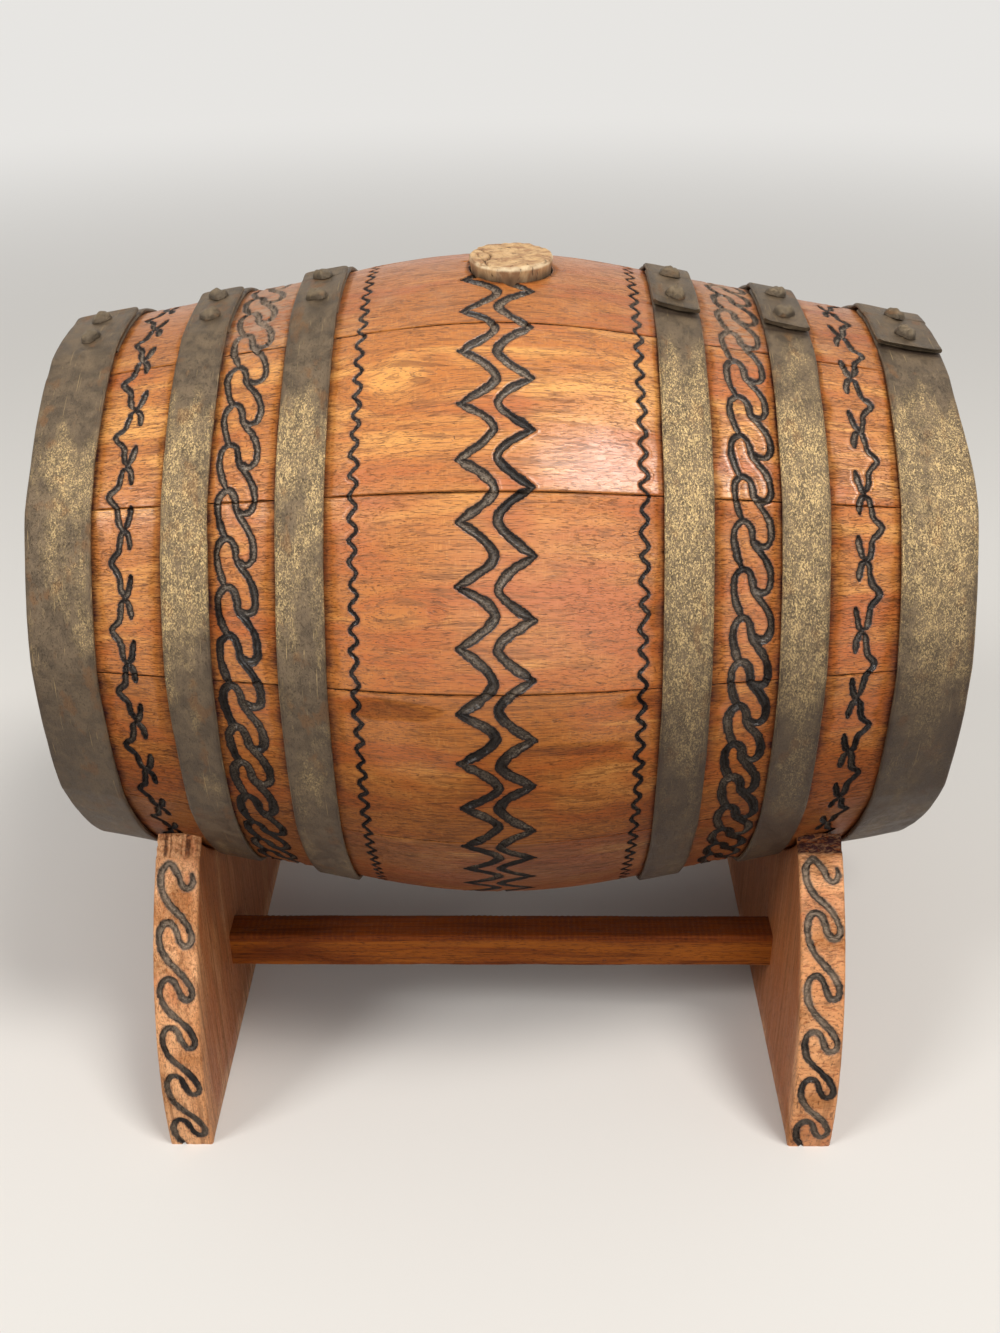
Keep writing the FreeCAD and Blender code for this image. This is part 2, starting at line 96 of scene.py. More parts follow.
cask_start, cask_finish = span("stave_01", 0)
MIDDLE = (cask_start + cask_finish) / 2
CASK_END = (cask_finish - cask_start) / 2
STAVE_ANGLE = 360 / STAVE_COUNT


# ---------------------------------------------------------------- numbers and curves
def smooth(value):
    """Soft step from 0 to 1."""
    value = np.clip(value, 0, 1)
    return value * value * (3 - 2 * value)


def bell(value, width):
    """1 where a value is 0, falling away on both sides over a width."""
    return np.exp(-(value / width) ** 2)


def rounding(distance, reach):
    """Drop of a rounded edge: 1 at the edge, and 0 from its reach on."""
    return (1 - np.clip(distance / reach, 0, 1)) ** 2


def ripple(first, second, size, seed, cells=64):
    """Smooth noise between -1 and 1 over two coordinates, with waves of a size."""
    table = np.random.default_rng(seed).uniform(-1, 1, (cells, cells))
    first, second = np.asarray(first) / size, np.asarray(second) / size
    row, column = np.floor(first).astype(int), np.floor(second).astype(int)
    down, right = smooth(first - row), smooth(second - column)

    def across(cells_row):
        cells_row = cells_row % cells
        return table[cells_row, column % cells] * (1 - right) + table[cells_row, (column + 1) % cells] * right

    return across(row) * (1 - down) + across(row + 1) * down


def round_angles(count):
    """Angles that go once round, in radians."""
    return np.linspace(0, 2 * math.pi, count + 1)[:-1]


def apart(turn, other):
    """Difference of two turns, between -180 and 180 degrees."""
    return (turn - other + 180) % 360 - 180


def positions(segments):
    """Ascending positions through (start, stop, step) segments that follow one another."""
    runs = [np.linspace(start, stop, math.ceil((stop - start) / step), endpoint=False)
            for start, stop, step in segments]
    return np.concatenate(runs + [[segments[-1][1]]])


def curve_through(points, per_span=10):
    """Catmull-Rom curve through the points, as a dense array."""
    points = np.asarray(points, float)
    padded = np.vstack([2 * points[0] - points[1], points, 2 * points[-1] - points[-2]])
    share = np.linspace(0, 1, per_span, endpoint=False)[:, None]
    runs = []
    for before, start, end, after in zip(padded, padded[1:], padded[2:], padded[3:]):
        runs.append(start + 0.5 * share * (
            end - before
            + share * (2 * before - 5 * start + 4 * end - after)
            + share ** 2 * (3 * start - 3 * end + after - before)))
    return np.vstack(runs + [points[-1:]])


def profile(along, depth=0.0):
    """Radius of a surface that lies a depth inside the staves' outer face."""
    distance = np.abs(along)
    nose = NOSE_RADIUS - depth
    sunk = NOSE_RADIUS - BILGE_RADIUS
    flank_start = nose * math.sin(FLANK)
    on_nose = np.sqrt(np.maximum(nose ** 2 - np.minimum(distance, flank_start) ** 2, 0)) - sunk
    return on_nose - np.maximum(distance - flank_start, 0) * math.tan(FLANK)


def on_cask(along, turn, radius, aside=0.0):
    """Points in the row frame from places on the cask; aside is square to the turn, to the front."""
    angle = np.radians(turn)
    return np.stack(np.broadcast_arrays(
        MIDDLE + along,
        -radius * np.sin(angle) - aside * np.cos(angle),
        AXIS_RISE + radius * np.cos(angle) - aside * np.sin(angle)), -1)


def facet(turn):
    """How far a stave's face lies inside the round there: nothing at its joints, most in its middle."""
    local = (turn - CASK_TURN + STAVE_ANGLE / 2) % STAVE_ANGLE / STAVE_ANGLE * 2 - 1
    return 1 - local ** 2


# ---------------------------------------------------------------- meshes
def grid_faces(columns, rows, wrap=False, first=0):
    """Quads over a grid of points; wrap joins the last row to the first."""
    index = first + np.arange(columns * rows).reshape(columns, rows)
    if wrap:
        index = np.hstack([index, index[:, :1]])
    quads = np.stack([index[:-1, :-1], index[1:, :-1], index[1:, 1:], index[:-1, 1:]], -1)
    return quads.reshape(-1, 4).tolist()


def skin(loops):
    """Points and faces of a closed solid through an array of loops, with a flat cap at each end."""
    count, size = loops.shape[:2]
    faces = grid_faces(count, size, wrap=True)
    faces.append(list(range(size)))
    faces.append(list(range((count - 1) * size, count * size)))
    return loops.reshape(-1, 3), faces


def new_solid(name, points, faces):
    """An object from points in millimetres, still without looks."""
    mesh = bpy.data.meshes.new(name)
    mesh.from_pydata((np.asarray(points) * MM).tolist(), [], faces)
    editable = bmesh.new()
    editable.from_mesh(mesh)
    bmesh.ops.recalc_face_normals(editable, faces=editable.faces)
    editable.to_mesh(mesh)
    editable.free()
    solid = bpy.data.objects.new(name, mesh)
    bpy.context.scene.collection.objects.link(solid)
    return solid


def combine(piece, other, operation):
    """Adds or takes away another solid."""
    modifier = piece.modifiers.new("combine", "BOOLEAN")
    modifier.object = other
    modifier.operation = operation
    modifier.solver = "EXACT"
    with bpy.context.temp_override(object=piece, active_object=piece):
        bpy.ops.object.modifier_apply(modifier="combine")
    bpy.data.objects.remove(other)


def dress(piece, material, body, node, fields, sharp=50):
    """Gives a solid its fields, shading and material and its body to ride on, and hides the CAD node that it
    stands in for.

    Fields are numbers or vectors at the mesh's points, which the material reads by name.
    """
    mesh = piece.data
    for name, values in fields.items():
        values = np.asarray(values, np.float32)
        kind, key = ("FLOAT_VECTOR", "vector") if values.ndim == 2 else ("FLOAT", "value")
        mesh.attributes.new(name, kind, "POINT").data.foreach_set(key, values.ravel())
    mesh.shade_smooth()
    mesh.set_sharp_from_angle(angle=math.radians(sharp))
    mesh.materials.clear()
    mesh.materials.append(material)
    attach(piece, body)
    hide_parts(node)


# distance in millimetres from which a crack or a groove no longer counts
FAR = 3.0
QUIET = {"groove": FAR, "seam": FAR, "soot": 0, "grime": 0, "dust": 0, "dry": 0, "tone": 0, "flush": 0}


def wood_fields(grain, **given):
    """Fields of a wood piece; FAR from any crack or groove, and even in colour, unless given."""
    grain = np.asarray(grain).reshape(-1, 3)
    fields = {name: np.full(len(grain), value, float) for name, value in QUIET.items()}
    fields.update({name: np.asarray(value, float).ravel() for name, value in given.items()})
    fields["grain"] = grain
    return fields


def widened(values, count, rest):
    """A grid of values with further columns beside it, which hold a rest value."""
    return np.concatenate([values, np.full((len(values), count), float(rest))], 1)


# ---------------------------------------------------------------- materials
class Look:
    """A material's nodes, with short calls for the few kinds that the looks are made of."""

    def __init__(self, name):
        self.material = bpy.data.materials.new(name)
        self.material.use_nodes = True
        self.tree = self.material.node_tree
        self.shader = self.tree.nodes["Principled BSDF"]

    def add(self, kind, inputs, output=0, **settings):
        node = self.tree.nodes.new(kind)
        for key, value in settings.items():
            setattr(node, key, value)
        for key, value in inputs.items():
            self.put(node.inputs[key], value)
        return node.outputs[output]

    def put(self, socket, value):
        if isinstance(value, bpy.types.NodeSocket):
            self.tree.links.new(value, socket)
        else:
            socket.default_value = value

    def field(self, name):
        return self.add("ShaderNodeAttribute", {}, "Fac", attribute_name=name)

    def grain(self):
        return self.add("ShaderNodeAttribute", {}, "Vector", attribute_name="grain")

    def noise(self, vector, sizes, detail=2, roughness=0.5, distortion=0.0):
        """Noise with waves of a size in millimetres on each axis."""
        scaled = self.add("ShaderNodeVectorMath", {0: vector, 1: [1 / size for size in sizes]},
                          operation="MULTIPLY")
        return self.add("ShaderNodeTexNoise", {
            "Vector": scaled, "Scale": 1.0, "Detail": detail, "Roughness": roughness,
            "Distortion": distortion})

    def band(self, value, low, high, start=0.0, end=1.0):
        """A value stretched from low..high to start..end, with soft ends."""
        return self.add("ShaderNodeMapRange", {
            "Value": value, "From Min": low, "From Max": high, "To Min": start, "To Max": end},
            interpolation_type="SMOOTHSTEP")

    def math(self, operation, first, second, third=0.0):
        return self.add("ShaderNodeMath", {0: first, 1: second, 2: third}, operation=operation)

    def times(self, first, second):
        return self.math("MULTIPLY", first, second)

    def plus(self, first, second):
        return self.math("ADD", first, second)

    def minus(self, first, second):
        return self.math("SUBTRACT", first, second)

    def mix(self, factor, first, second):
        """Mix of two colours."""
        node = self.tree.nodes.new("ShaderNodeMix")
        node.data_type = "RGBA"
        self.put(node.inputs["Factor"], factor)
        for socket, value in ((node.inputs[6], first), (node.inputs[7], second)):
            self.put(socket, value if isinstance(value, bpy.types.NodeSocket) else (*value, 1))
        return node.outputs[2]

    def over(self, colour, shade, value, low, high, share=1.0):
        """A colour with a shade over it, up to a share of it, as a value rises from low to high."""
        return self.mix(self.band(value, low, high, 0, share), colour, shade)

    def mix_number(self, factor, first, second):
        """Mix of two numbers."""
        return self.add("ShaderNodeMix", {0: factor, 2: first, 3: second}, data_type="FLOAT")

    def bump(self, height, distance):
        """Relief of a height field, where 1 stands a distance in millimetres above 0."""
        return self.add("ShaderNodeBump", {"Height": height, "Distance": distance * MM})

    def finish(self, **sockets):
        for key, value in sockets.items():
            self.put(self.shader.inputs[key.replace("_", " ")], value)
        return self.material


def scaled(colour, share):
    """A colour of the same hue, with a share of the light."""
    return tuple(channel * share for channel in colour)


def wood_look(name, pale, deep, red, roughness=0.34, varnish=0.16, rough_cut=0.0):
    """Varnished open-pored wood whose grain follows the field "grain".

    The fields "tone", "flush", "dry" and "dust" lighten, redden, check and dust it; the grime field darkens
    it with dirt and with painted shade.
    "seam" and "groove" are distances in millimetres to a crack and to the edge of a burnt groove,
    negative inside it, and "soot" blackens the groove's floor.
    """
    look = Look(name)
    grain, soot = look.grain(), look.field("soot")
    zone = look.noise(grain, (70, 7, 7), 3, 0.55, 0.7)
    figure = look.noise(grain, (50, 1.3, 1.3), 5, 0.65, 1.2)
    streak = look.noise(grain, (20, 0.4, 0.4), 3, 0.62)
    pores = look.noise(grain, (2.4, 0.18, 0.18))
    warmth = look.noise(grain, (40, 9, 9), 3, 0.55)
    shimmer = look.noise(grain, (0.5, 2.5, 2.5), 2, 0.6)
    vein = look.noise(grain, (24, 0.95, 0.95), 2, 0.55, 0.25)
    broken = look.noise(grain, (6, 2.2, 2.2), 3, 0.6)

    colour = look.mix(look.band(look.plus(zone, look.field("tone")), 0.36, 0.63), deep, pale)
    colour = look.over(colour, pale, shimmer, 0.5, 0.75, 0.3)
    colour = look.over(colour, red, look.plus(warmth, look.field("flush")), 0.5, 0.72, 0.7)
    colour = look.over(colour, scaled(deep, 0.5), figure, 0.50, 0.64, 0.74)
    colour = look.over(colour, scaled(deep, 0.5), streak, 0.54, 0.66, 0.58)
    colour = look.over(colour, scaled(deep, 0.18), pores, 0.58, 0.68, 0.65)
    vein = look.math("ABSOLUTE", look.minus(vein, 0.5), 0)
    broken = look.math("MULTIPLY_ADD", look.field("dry"), 0.3, broken)
    checked = look.times(look.band(vein, 0.004, 0.020, 1, 0), look.band(broken, 0.5, 0.7))
    colour = look.mix(look.times(checked, 0.6), colour, scaled(red, 0.26))
    clean = look.band(look.field("grime"), 0.05, 0.3, 1, 0.1)
    # the grime field darkens the wood with dirt, and with painted shade low on the staves and on the rails'
    # upper faces
    soil_and_shade = look.times(look.field("grime"), look.band(streak, 0.25, 0.6, 0.75, 1.15))
    colour = look.mix(soil_and_shade, colour, (0.045, 0.016, 0.016))

    relief = look.times(look.band(pores, 0.56, 0.72), -0.6)
    relief = look.minus(relief, look.times(look.band(streak, 0.5, 0.8), 0.5))
    relief = look.minus(relief, checked)
    if rough_cut:
        torn = look.noise(grain, (0.7, 0.6, 0.6), 4, 0.7)
        relief = look.minus(relief, look.times(torn, rough_cut))
        colour = look.over(colour, scaled(red, 0.6), torn, 0.53, 0.62, 0.62)
    gloss = look.band(figure, 0.3, 0.7, roughness - 0.06, roughness + 0.12)

    splinter = look.times(look.noise(grain, (1.5, 0.25, 0.25), 2, 0.6), 0.5)
    cracked = look.band(look.plus(look.field("seam"), splinter), 0.24, 0.34, 1, 0)
    colour = look.mix(cracked, colour, (0.022, 0.010, 0.007))
    relief = look.minus(relief, cracked)

    groove = look.plus(look.field("groove"), splinter)
    colour = look.mix(look.band(groove, 0.2, 0.75, 0.45, 0), colour, (0.12, 0.030, 0.012))
    burnt = look.band(groove, 0.18, 0.3, 1, 0)
    char = look.noise(grain, (0.6, 0.4, 0.4), 3, 0.7)
    ash = look.mix(soot, (0.27, 0.205, 0.15), (0.03, 0.024, 0.021))
    ash = look.over(ash, (0.028, 0.020, 0.016), char, 0.46, 0.56, 0.8)
    # painted glints: pale flecks on the groove's floor, fewer where it is sooty
    glint_flecks = look.band(look.noise(grain, (1.1, 0.6, 0.6), 3, 0.7), 0.56, 0.64, 0, 0.5)
    ash = look.mix(look.times(glint_flecks, look.band(soot, 0.3, 0.8, 1, 0.1)), ash, (0.42, 0.35, 0.26))
    # painted shade on the groove's walls: its edges inside are painted nearly black
    ash = look.over(ash, (0.016, 0.010, 0.009), groove, -0.34, 0.0, 0.92)
    colour = look.mix(burnt, colour, ash)
    relief = look.plus(relief, look.times(look.times(char, burnt), 3.0))
    gloss = look.mix_number(burnt, gloss, look.band(soot, 0.2, 0.9, 0.45, 0.22))

    powder = look.band(look.noise(grain, (3, 1.2, 1.2), 4, 0.7), 0.35, 0.6)
    dusty = look.times(look.field("dust"), powder)
    colour = look.mix(dusty, colour, (0.40, 0.29, 0.205))
    coat = look.math("MULTIPLY_ADD", look.times(burnt, soot), 0.12, look.times(clean, varnish))
    return look.finish(
        Base_Color=colour, Roughness=look.mix_number(dusty, gloss, 0.85), Normal=look.bump(relief, 0.13),
        Coat_Weight=coat, Coat_Roughness=0.2,
        Specular_IOR_Level=look.times(clean, look.mix_number(burnt, 0.5, 0.22)))


def bronze_look(name, dark, gold, bright_edge):
    """Aged bronze: an olive-brown patina with fine gold speckle, scratches and worn edges. More gold shows
    where the glow field paints light on, the worn edges also stand in for glints, and the grime field darkens
    it with dirt and with painted shade.
    """
    look = Look(name)
    grain = look.grain()
    # the glow field is painted light: where it is higher, more gold shows
    cloud = look.plus(look.noise(grain, (22, 9, 9), 4, 0.6), look.field("painted_glow"))
    blotch = look.noise(grain, (4, 4, 4), 5, 0.65, 0.4)
    speckle = look.noise(grain, (0.46, 0.32, 0.32), 4, 0.78, 0.5)
    cluster = look.noise(grain, (2.4, 1.6, 1.6), 4, 0.7)
    rust = look.noise(grain, (7, 5, 5), 3, 0.6)
    scratch = look.noise(grain, (9, 0.25, 4), 2, 0.5, 0.3)
    colour = look.mix(look.band(blotch, 0.35, 0.65), scaled(dark, 0.7), scaled(dark, 1.3))
    colour = look.over(colour, (0.23, 0.11, 0.042), rust, 0.56, 0.68, 0.6)
    bright = look.band(cloud, 0.38, 0.66)
    colour = look.mix(look.times(bright, 0.12), colour, scaled(gold, 0.62))
    grains = look.band(look.math("MULTIPLY_ADD", cluster, 0.34, speckle), 0.655, 0.76, 0, 0.82)
    colour = look.mix(look.times(bright, grains), colour, gold)
    pitted = look.band(look.noise(grain, (0.5, 0.4, 0.4), 3, 0.7), 0.56, 0.66, 0, 0.5)
    colour = look.mix(pitted, colour, scaled(dark, 0.35))
    colour = look.over(colour, gold, scratch, 0.68, 0.74, 0.45)
    colour = look.over(colour, bright_edge, look.field("wear_and_glint"), 0.2, 1.0, 0.6)
    # darkened by dirt, and by painted shade and a painted shadow under the flap
    colour = look.mix(look.field("grime"), colour, (0.035, 0.020, 0.014))
    relief = look.math("MULTIPLY_ADD", blotch, 0.9, look.minus(speckle, pitted))
    return look.finish(
        Base_Color=colour, Metallic=0.55, Roughness=look.band(blotch, 0.3, 0.7, 0.40, 0.58),
        Normal=look.bump(relief, 0.2))


def cork_look():
    """Raw cork: tan with pinkish granules, dark lenticels and fibres."""
    look = Look("cork_raw")
    grain = look.grain()
    patch = look.noise(grain, (5, 2.6, 4), 4, 0.6, 0.5)
    granule = look.noise(grain, (0.9, 0.7, 1.4), 4, 0.7)
    fibre = look.noise(grain, (3, 0.6, 1.5), 3, 0.6, 0.5)
    pit = look.noise(grain, (1.1, 0.8, 1.2))
    colour = look.mix(look.band(patch, 0.4, 0.6), (0.38, 0.205, 0.10), (0.64, 0.405, 0.20))
    colour = look.over(colour, (0.74, 0.52, 0.30), fibre, 0.5, 0.62, 0.45)
    colour = look.over(colour, (0.33, 0.18, 0.085), granule, 0.52, 0.66, 0.5)
    colour = look.over(colour, (0.10, 0.055, 0.03), pit, 0.66, 0.72, 0.8)
    colour = look.mix(look.field("wear_and_glint"), colour, (0.92, 0.76, 0.50))
    # the grime field darkens the cracks and the pit, and the wall with painted shade
    colour = look.mix(look.field("grime"), colour, (0.055, 0.028, 0.014))
    relief = look.minus(look.times(granule, -0.8), look.band(pit, 0.64, 0.72))
    return look.finish(Base_Color=colour, Roughness=0.85, Normal=look.bump(relief, 0.3))


STAVE_WOOD = wood_look(
    "stave_varnished", (0.82, 0.375, 0.095), (0.55, 0.185, 0.036), (0.50, 0.115, 0.020), varnish=0.32)
HEAD_WOOD = wood_look("head_varnished", (0.68, 0.30, 0.085), (0.48, 0.17, 0.042), (0.45, 0.13, 0.03))
BOARD_WOOD = wood_look(
    "cradle_varnished", (0.94, 0.485, 0.225), (0.72, 0.31, 0.115), (0.50, 0.13, 0.028),
    roughness=0.5, varnish=0.03, rough_cut=1.4)
RAIL_WOOD = wood_look(
    "rail_varnished", (0.44, 0.125, 0.012), (0.27, 0.058, 0.005), (0.20, 0.036, 0.004), varnish=0.05)
TAP_WOOD = wood_look("tap_varnished", (0.60, 0.27, 0.08), (0.44, 0.16, 0.04), (0.40, 0.11, 0.028))
KEY_WOOD = wood_look("key_varnished", (0.42, 0.16, 0.05), (0.30, 0.09, 0.026), (0.26, 0.06, 0.018))
HOOP_METAL = bronze_look("hoop_bronze", (0.160, 0.114, 0.070), (0.86, 0.61, 0.28), (0.36, 0.285, 0.185))
RIVET_METAL = bronze_look("rivet_bronze", (0.115, 0.085, 0.055), (0.34, 0.235, 0.115), (0.24, 0.18, 0.11))
CORK = cork_look()


# ---------------------------------------------------------------- carved strokes
STROKE_STEP = 0.2
# places carved at once, which bounds the memory for their distances to the strokes
BATCH = 4000
# how far the wood's roughness moves a groove's edge, and the ridge that the gouge raises beside it
RAGGED = 0.10
BURR_HEIGHT, BURR_AWAY, BURR_WIDTH = 0.08, 0.28, 0.2
# how far a stroke wanders, and the share by which its width swings
WANDER, WIDTH_SWING = 0.07, 0.16


class Strokes:
    """Burnt gouge strokes on an unrolled surface, each a dense line with its own uneven width."""

    def __init__(self, half_width, depth, seed):
        self.half_width = half_width
        self.depth = depth
        self.rng = np.random.default_rng(seed)
        self.points, self.widths, self.soots = [], [], []

    def add(self, first, second, tip=1.0, fade=1.0):
        """A stroke through the points; over the length "fade" its ends narrow to a share "tip"."""
        line = np.stack([first, second], -1)
        steps = np.hypot(*np.diff(line, axis=0).T)
        travelled = np.concatenate([[0], np.cumsum(steps)])
        at = np.arange(0, travelled[-1], STROKE_STEP)
        line = np.stack([np.interp(at, travelled, line[:, axis]) for axis in (0, 1)], -1)
        seed = int(self.rng.integers(1 << 30))

        def waves(size, extra):
            return ripple(at, 0 * at, size, seed + extra)

        line += WANDER * np.stack([waves(1.1, 0), waves(0.9, 1)], -1)
        self.points.append(line)
        width = self.half_width * (1 + WIDTH_SWING * waves(2.4, 2))
        to_end = np.minimum(at, travelled[-1] - at)
        self.widths.append(width * (tip + (1 - tip) * smooth(to_end / fade)))
        self.soots.append(0.45 + 0.55 * waves(5.0, 3))

    def carve(self, first, second, rough):
        """Depth of the groove, distance to its edge and soot in it, given the wood's roughness."""
        points, widths, soots = map(np.concatenate, (self.points, self.widths, self.soots))
        near = (points[:, 0] > first.min() - FAR) & (points[:, 0] < first.max() + FAR)
        near &= (points[:, 1] > second.min() - FAR) & (points[:, 1] < second.max() + FAR)
        depth, soot, gap = np.zeros_like(first), np.zeros_like(first), np.full_like(first, FAR)
        if not near.any():
            return depth, gap, soot
        points, widths, soots = points[near], widths[near], soots[near]
        for part in np.array_split(np.arange(first.size), max(1, first.size // BATCH)):
            away = np.hypot(first.flat[part][:, None] - points[:, 0],
                            second.flat[part][:, None] - points[:, 1]) - widths
            nearest = away.argmin(1)
            edge = away[np.arange(len(part)), nearest] + RAGGED * rough.flat[part]
            burr = BURR_HEIGHT * bell(edge - BURR_AWAY, BURR_WIDTH)
            depth.flat[part] = self.depth * smooth(-edge / (0.75 * widths[nearest])) - burr
            gap.flat[part] = np.minimum(edge, FAR)
            soot.flat[part] = np.clip(soots[nearest], 0, 1)
        return depth, gap, soot


class Band:
    """Strokes that run round the cask in a band, wider by low_growth towards its underside."""

    def __init__(self, middle, reach, half_width, depth, seed, low_growth=0.06):
        self.middle, self.reach, self.low_growth = middle, reach, low_growth
        self.radius = float(profile(np.array(middle)))
        self.strokes = Strokes(half_width, depth, seed)
        self.rng = np.random.default_rng(seed + 1000)

    def add(self, along, turn, tip=1.0, fade=1.0):
        self.strokes.add(along, np.radians(turn) * self.radius, tip, fade)

    def jitter(self, size):
        return self.rng.uniform(-size, size)


def chain_band(outer, inner, count, phase, seed):
    """Scalloped chain: sharp cusps on its outer side, rounded corners on its inner side."""
    band = Band((outer + inner) / 2, abs(outer - inner) / 2 + 2, 1.05, 0.95, seed, low_growth=0.14)
    pitch = 360 / count
    cusps = [(outer + band.jitter(0.3), phase + pitch * (step + band.jitter(0.05)))
             for step in range(count)]
    cusps.append((cusps[0][0], cusps[0][1] + 360))
    for (from_along, from_turn), (to_along, to_turn) in zip(cusps, cusps[1:]):
        share = np.linspace(0, 1, 41)
        skew = share + band.jitter(0.05) * np.sin(math.pi * share) ** 2
        depth = inner - outer + band.jitter(0.35)
        swing = 1 - np.abs(1 - 2 * share) ** np.where(share < 0.5, 1.8, 1.45)
        base = from_along + (to_along - from_along) * share
        band.add(base + depth * swing, from_turn + (to_turn - from_turn) * skew, 0.5, 3.0)
    return band


def wave_band(middle, swing, count, phase, seed):
    """Thin zigzag with softened corners."""
    band = Band(middle, swing + 2, 0.44, 0.55, seed)
    corners = []
    for step in range(2 * count + 1):
        turn = phase + 180 / count * (step + band.jitter(0.12))
        side = 1 if step % 2 else -1
        corners.append((middle + side * (swing + band.jitter(0.15)), turn))
    corners[-1] = (corners[0][0], corners[0][1] + 360)
    line = curve_through(corners, 6)
    band.add(line[:, 0], line[:, 1])
    return band


# one link of the rope, and one knot and stem of the vine: across their band, and in steps of pitch
ROPE_LINK = [(0.20, 0.97), (0.07, 0.70), (0.0, 0.42), (0.02, 0.19), (0.12, 0.05), (0.26, 0.0),
             (0.41, 0.07), (0.49, 0.24), (0.53, 0.45), (0.66, 0.61), (0.84, 0.81), (0.96, 1.02),
             (1.0, 1.22), (0.98, 1.38), (0.88, 1.50), (0.72, 1.52), (0.58, 1.43)]
VINE_STEM = [(0.1, 0.02), (0.8, 0.06), (1.1, 0.2), (1.6, 0.34), (2.9, 0.42), (3.4, 0.49),
             (2.5, 0.58), (1.4, 0.68), (1.1, 0.84), (0.7, 0.94), (0.1, 0.99)]
VINE_ARMS = [[(-1.7, -0.34), (-1.3, -0.2), (-0.8, -0.08), (0.0, -0.01)],
             [(0.0, 0.01), (-0.8, 0.06), (-1.3, 0.16), (-1.4, 0.29)]]


def rope_band(low, high, count, phase, seed):
    """Rope of S-shaped links, each hooked into the next."""
    band = Band((low + high) / 2, (high - low) / 2 + 2, 0.76, 0.85, seed, low_growth=0.3)
    pitch = 360 / count
    link = curve_through(ROPE_LINK, 8)
    for step in range(count):
        width = (high - low) * (1 + band.jitter(0.05))
        turn = phase + pitch * (step + band.jitter(0.03))
        band.add(low + band.jitter(0.2) + width * link[:, 0], turn + pitch * link[:, 1], 0.7, 1.5)
    return band


def vine_band(knots_at, side, count, phase, seed):
    """Barbed vine: forked knots joined by a stem that bulges towards the end hoop."""
    band = Band(knots_at + side, 6, 0.72, 0.8, seed)
    pitch = 360 / count
    stem = curve_through(VINE_STEM, 8)
    for step in range(count):
        turn = phase + pitch * (step + band.jitter(0.04))
        shift = knots_at + band.jitter(0.25)
        grow = side * (1 + band.jitter(0.12))
        band.add(shift + grow * stem[:, 0], turn + pitch * stem[:, 1], 0.6, 1.5)
        for arm in VINE_ARMS:
            line = curve_through(arm, 8)
            band.add(shift + grow * line[:, 0], turn + pitch * line[:, 1], 0.6, 1.2)
    return band


# each with its place along the cask, its number of links round it, its phase in degrees and its seed
BANDS = [
    vine_band(-77.9, -1, 30, 7.4, 11),
    rope_band(-57.4, -49.4, 44, 0.1, 12),
    wave_band(-28.7, 0.8, 105, 34.2, 13),
    chain_band(-7.5, 0.2, 38, 8.5, 14),
    chain_band(8.2, 0.8, 38, 3.8, 15),
    wave_band(30.6, 0.8, 99, 35.4, 16),
    rope_band(49.3, 57.3, 47, 1.5, 17),
    vine_band(77.3, 1, 29, 11.9, 18),
]


# ---------------------------------------------------------------- staves
# steps between the places along a stave
FINE, MEDIUM, COARSE = 0.3, 0.5, 1.3
# how far a face's middle lies inside the round; the top stave's is nearly round
FACET_DEPTH, TOP_FACET_DEPTH = 0.9, 0.045
# swelling of the staves round the bung, over these lengths along and degrees round the cask
BUNG_SWELL, SWELL_LENGTH, SWELL_TURN = 0.45, 15, 26
# rounding of a face towards its joints and its two ends, and half the gap of a joint
JOINT_DROP, JOINT_REACH, END_ROUND = 0.22, 0.35, 0.5
JOINT_GAP = 0.03
INNER_ROWS = 7
# what keeps the grain of neighbouring staves apart
GRAIN_SHIFT = 97
HOOP_SPANS = [tuple(value - MIDDLE for value in span(f"{side}_{name}_hoop", 0))
              for side in ("left", "right") for name in ("bilge", "quarter", "chime")]

# swirls and patches in the grain: place along, turn, half length, half width, how far the grain
# bends round it, how much lighter it is, and how dark its rim
FIGURES = [
    (-20, 31.5, 9, 6.5, 0.75, 0.14, 0.10), (-19, 69.4, 7.5, 4, 0.6, 0.06, 0.10),
    (-11.4, 68.8, 1.5, 2.0, 0.5, -0.04, 0.10), (-18, 98.5, 17, 8, 0.4, 0.16, 0.25),
    (25, 99.5, 18, 8, 0.4, 0.16, 0.25), (20, 18, 14, 3, 0.2, -0.16, 0), (36, 83.5, 13, 3, 0.2, -0.16, 0),
    (-22, 84.5, 14, 3, 0.2, -0.18, 0), (14, 91.5, 16, 2.4, 0.1, -0.2, 0), (32, 36, 6, 5, 0.3, 0.12, 0),
    (22, 119, 16, 2, 0.1, -0.2, 0), (-25, 110, 12, 2, 0.1, -0.18, 0),
]
# cracks in the varnished faces: points along and round the cask
CRACKS = [
    [(-33, 63.4), (-20, 62.9), (-8, 62.4), (3, 61.8), (14, 61.2)],
    [(-28.5, 80.7), (-26.5, 79.7), (-24.5, 79.7), (-22.5, 79.0), (-20, 79.1), (-17.5, 78.4), (-15, 78.4)],
    [(-28, 79.9), (-25.5, 80.3), (-23.5, 79.3), (-21.5, 79.5)],
    [(-12.2, 66.0), (-11.6, 67.2), (-11.9, 68.6), (-11.4, 70.0), (-12.4, 70.9)],
    [(-12, 33.6), (-9.5, 33.0), (-8, 33.8), (-9, 34.6)], [(-11.5, 36.2), (-10, 35.6), (-8.5, 36.4)],
    [(-13, 29.9), (-11.6, 29.6), (-11.4, 30.5), (-12.6, 30.8)], [(-9.8, 40), (-8.2, 40.4), (-7.4, 41.4)],
    [(-9.9, 41.4), (-8.8, 41.9), (-8, 43), (-9.6, 44.4), (-10.4, 46.4)], [(-9.6, 42.8), (-8.4, 43.3)],
    [(6, 73.5), (18, 73.2), (34, 73.8)], [(-33, 87), (-22, 86.6), (-12, 87.2)], [(14, 88.5), (30, 88.1)],
]


